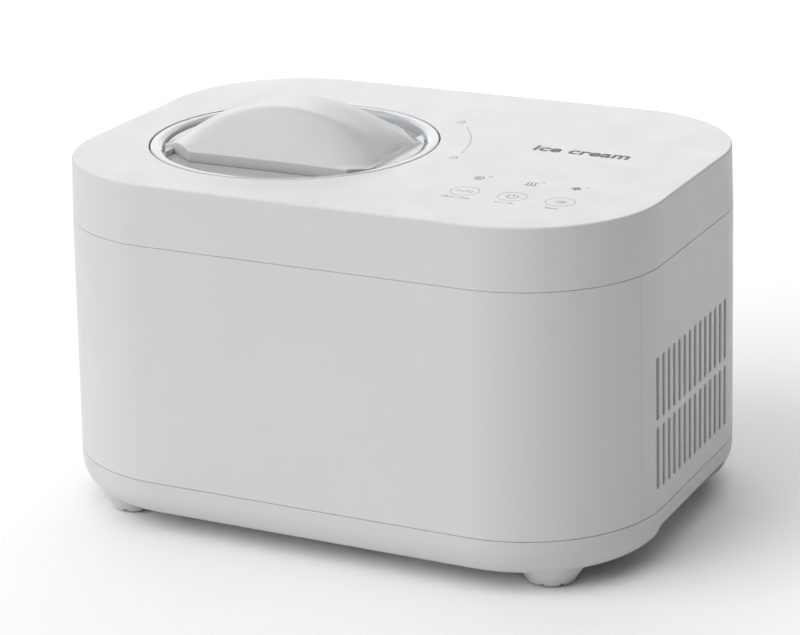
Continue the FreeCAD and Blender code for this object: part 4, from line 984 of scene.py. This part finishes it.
def sign_marks():
    """Three small programme signs: a scoop in a cup, waves, and a snowflake."""
    line = 0.75 * MM
    cup = (KEY_X[0] - 3.5 * MM, SIGN_Y)
    parts = [ribbon(shifted(cup, [(-3.2, 0), (3.2, 0), (1.8, -3.6), (-1.8, -3.6)]), line, True)]
    parts.append(ribbon(shifted(cup, [(-0.6, -3), (-1, 0)]), line))
    parts.append(ribbon(shifted(cup, [(0.6, -3), (1, 0)]), line))
    parts.append(ribbon(arc_path((cup[0], cup[1]), 2.6 * MM, 0, 180, 14), line))
    waves = (KEY_X[1], SIGN_Y)
    for shift in (-2.4, 0, 2.4):
        path = [(shift + 0.5 * math.sin(step * 0.9), -3 + step * 0.75) for step in range(9)]
        parts.append(ribbon(shifted(waves, path), line))
    parts.append(ribbon(shifted(waves, [(-3.8, -3.6), (3.8, -3.6)]), line))
    flake = (KEY_X[2] - 1.8 * MM, SIGN_Y)
    for turn in range(3):
        a = math.radians(60 * turn + 30)
        way = Vector((math.cos(a), math.sin(a)))
        parts.append(ribbon(shifted(flake, [tuple(-3.6 * way), tuple(3.6 * way)]), line))
        for end in (-1, 1):
            for twist in (-0.7, 0.7):
                tip = Vector((math.cos(a + twist), math.sin(a + twist)))
                base = 1.7 * end * way
                parts.append(ribbon(shifted(flake, [tuple(base), tuple(base + 1.0 * end * tip)]), line))
    for x, y in (cup, waves, flake):
        parts.append(ribbon(arc_path((x + 5.4 * MM, y + 4.6 * MM), 1.2 * MM, 0, 330, 11), 0.25 * MM, True))
    return parts


def lock_marks():
    """The arc beside the lid with an arrow head at each end and an open and a closed padlock."""
    radius = 111.6 * MM
    parts = [ribbon(arc_path(LID, radius, 6.3, 36.5, 30), 0.38 * MM)]
    for angle, way in ((6.3, -1), (36.5, 1)):
        spot = Vector(arc_path(LID, radius, angle, angle, 1)[0])
        along = Vector((-math.sin(math.radians(angle)), math.cos(math.radians(angle)))) * way
        side = Vector((along.y, -along.x))
        tip = spot + along * 1.6 * MM
        for hand in (-1, 1):
            barb = spot - along * 0.3 * MM + side * hand * 1.1 * MM
            parts.append(ribbon([tuple(tip), tuple(barb)], 0.28 * MM))
    for angle, is_open in ((44, True), (-0.75, False)):
        spot = arc_path(LID, radius, angle, angle, 1)[0]
        parts += padlock(spot, is_open)
    return parts


def word(text, x, y, tall, spacing=1.0, stretch=1.0, bold=0.0):
    """A word as flat mesh, centred on x and standing on y."""
    curve = bpy.data.curves.new("word", "FONT")
    curve.body = text
    curve.size = tall
    curve.space_character = spacing
    curve.align_x = "CENTER"
    curve.extrude = 0.05 * MM
    curve.offset = bold
    curve.resolution_u = 6
    obj = bpy.data.objects.new("word", curve)
    bpy.context.scene.collection.objects.link(obj)
    bpy.context.view_layer.update()
    graph = bpy.context.evaluated_depsgraph_get()
    mesh = bpy.data.meshes.new_from_object(obj.evaluated_get(graph))
    level = TOP + PRINT_UP - 0.05 * MM
    points = [Vector((x + v.co.x * stretch, y + v.co.y, level + v.co.z)) for v in mesh.vertices]
    faces = [tuple(face.vertices) for face in mesh.polygons]
    bpy.data.objects.remove(obj)
    return points, faces


def build_prints():
    """Every printed mark on the top: generic words, keys, signs and the lock arc."""
    thin = key_marks() + sign_marks() + lock_marks()
    for text, x in zip(("start / stop", "on / off", "menu"), KEY_X):
        thin.append(word(text, x, WORD_Y, 3.3 * MM, 1.12, 1.05, 0.05 * MM))
    points, faces = merge(*thin)
    make_object("printed_key_marks", points, faces, "housing", INK, (), 30, False)
    points, faces = word("ice cream", 111 * MM, 21.5 * MM, 16 * MM, 1.04, 0.98, 0.55 * MM)
    make_object("printed_title", points, faces, "housing", DARK_INK, (), 30, False)


def build_handle_pointer():
    """A faint raised outline of an arrow near the right end of the crest."""
    line = 0.35 * MM
    corners = [(59 * MM, 10.5 * MM), (70.5 * MM, 5 * MM), (59 * MM, 1 * MM)]
    path = []
    for index in range(3):
        a, b = Vector(corners[index]), Vector(corners[(index + 1) % 3])
        path += [a.lerp(b, step / 8) for step in range(8)]
    count = len(path)
    rings = []
    for index, here in enumerate(path):
        way = (path[(index + 1) % count] - path[index - 1]).normalized()
        side = Vector((-way.y, way.x)) * line / 2
        ring = []
        for sign, deep in ((1, 0.06), (-1, 0.06), (-1, -0.3), (1, -0.3)):
            x, y = here.x + side.x * sign, here.y + side.y * sign
            ring.append(Vector((LID.x + x, LID.y + y, TOP + handle_height(x, y) + deep * MM)))
        rings.append(ring)
    points, faces = skin(rings, close=True)
    make_object("handle_pointer", points, faces, "lid", SHADE_DARKENED_HANDLE, (), 30, False)


# ---------------------------------------------------------------- studio

def build_studio():
    """A pale floor and soft light: wide suns for the sky and one panel behind."""
    floor = bpy.data.meshes.new("floor")
    size = 6.0
    corners = [(-size, -size, 0), (size, -size, 0), (size, size, 0), (-size, size, 0)]
    floor.from_pydata(corners, [], [(0, 1, 2, 3)])
    ground = bpy.data.objects.new("floor", floor)
    bpy.context.scene.collection.objects.link(ground)
    make = Nodes("floor_paper")
    make.tint(make.spread(make.noise(3, 3), 0, 1), (0.93, 0.93, 0.93), (0.95, 0.95, 0.95))
    floor.materials.append(make.settle(Roughness=0.9))

    world = bpy.data.worlds.new("studio")
    bpy.context.scene.world = world
    world.use_nodes = True
    back = world.node_tree.nodes["Background"]
    back.inputs["Color"].default_value = (1, 1, 1, 1)
    back.inputs["Strength"].default_value = 0.08

    def area(name, place, aim, size, power):
        light = bpy.data.lights.new(name, "AREA")
        light.shape = "RECTANGLE"
        light.size, light.size_y = size
        light.energy = power
        obj = bpy.data.objects.new(name, light)
        bpy.context.scene.collection.objects.link(obj)
        obj.location = place
        obj.rotation_euler = (Vector(aim) - Vector(place)).to_track_quat("-Z", "Y").to_euler()

    def sky(name, way, strength, spread):
        light = bpy.data.lights.new(name, "SUN")
        light.energy = strength
        light.angle = math.radians(spread)
        obj = bpy.data.objects.new(name, light)
        bpy.context.scene.collection.objects.link(obj)
        obj.rotation_euler = (-Vector(way)).to_track_quat("-Z", "Y").to_euler()

    sky("sky_above", (0, 0, 1), 1.35, 70)
    sky("sky_left_front", (-0.55, -0.62, 0.6), 1.66, 55)
    sky("sky_front", (-0.3, -0.8, 0.6), 0.3, 45)
    sky("sky_rear", (-0.35, 0.7, 0.62), 0.3, 70)
    area("rear_panel", (-0.95, 1.95, 1.0), (0, 0, 0.15), (2.6, 1.3), 17)


def build_camera():
    """A long lens about 26 degrees round from the front and 19 degrees up."""
    azimuth, elevation, roll = (math.radians(angle) for angle in (26.25, 18.84, -1.14))
    distance, lens = 1.7629, 123.9
    right = Vector((math.cos(azimuth), math.sin(azimuth), 0))
    back = Vector((math.sin(azimuth) * math.cos(elevation), -math.cos(azimuth) * math.cos(elevation),
                   math.sin(elevation)))
    up = back.cross(right)
    target = Vector((0, 0, 0.1124)) - right * 0.0035 + up * 0.0011
    across = right * math.cos(roll) + up * math.sin(roll)
    above = up * math.cos(roll) - right * math.sin(roll)
    data = bpy.data.cameras.new("camera")
    data.lens = lens
    data.sensor_width = 36
    camera = bpy.data.objects.new("camera", data)
    bpy.context.scene.collection.objects.link(camera)
    turn = Matrix((across, above, back)).transposed()
    camera.matrix_world = Matrix.Translation(target + back * distance) @ turn.to_4x4()
    bpy.context.scene.camera = camera


paint_cad_nodes()
build_top_cover()
build_front_shell()
build_rear_shell()
build_base_tray()
build_foot_pads()
build_lid_ring()
build_lid_window()
build_handle()
build_handle_pointer()
build_bowl()
build_prints()
build_studio()
build_camera()
bpy.context.scene.view_settings.view_transform = "Standard"

bpy.context.view_layer.update()
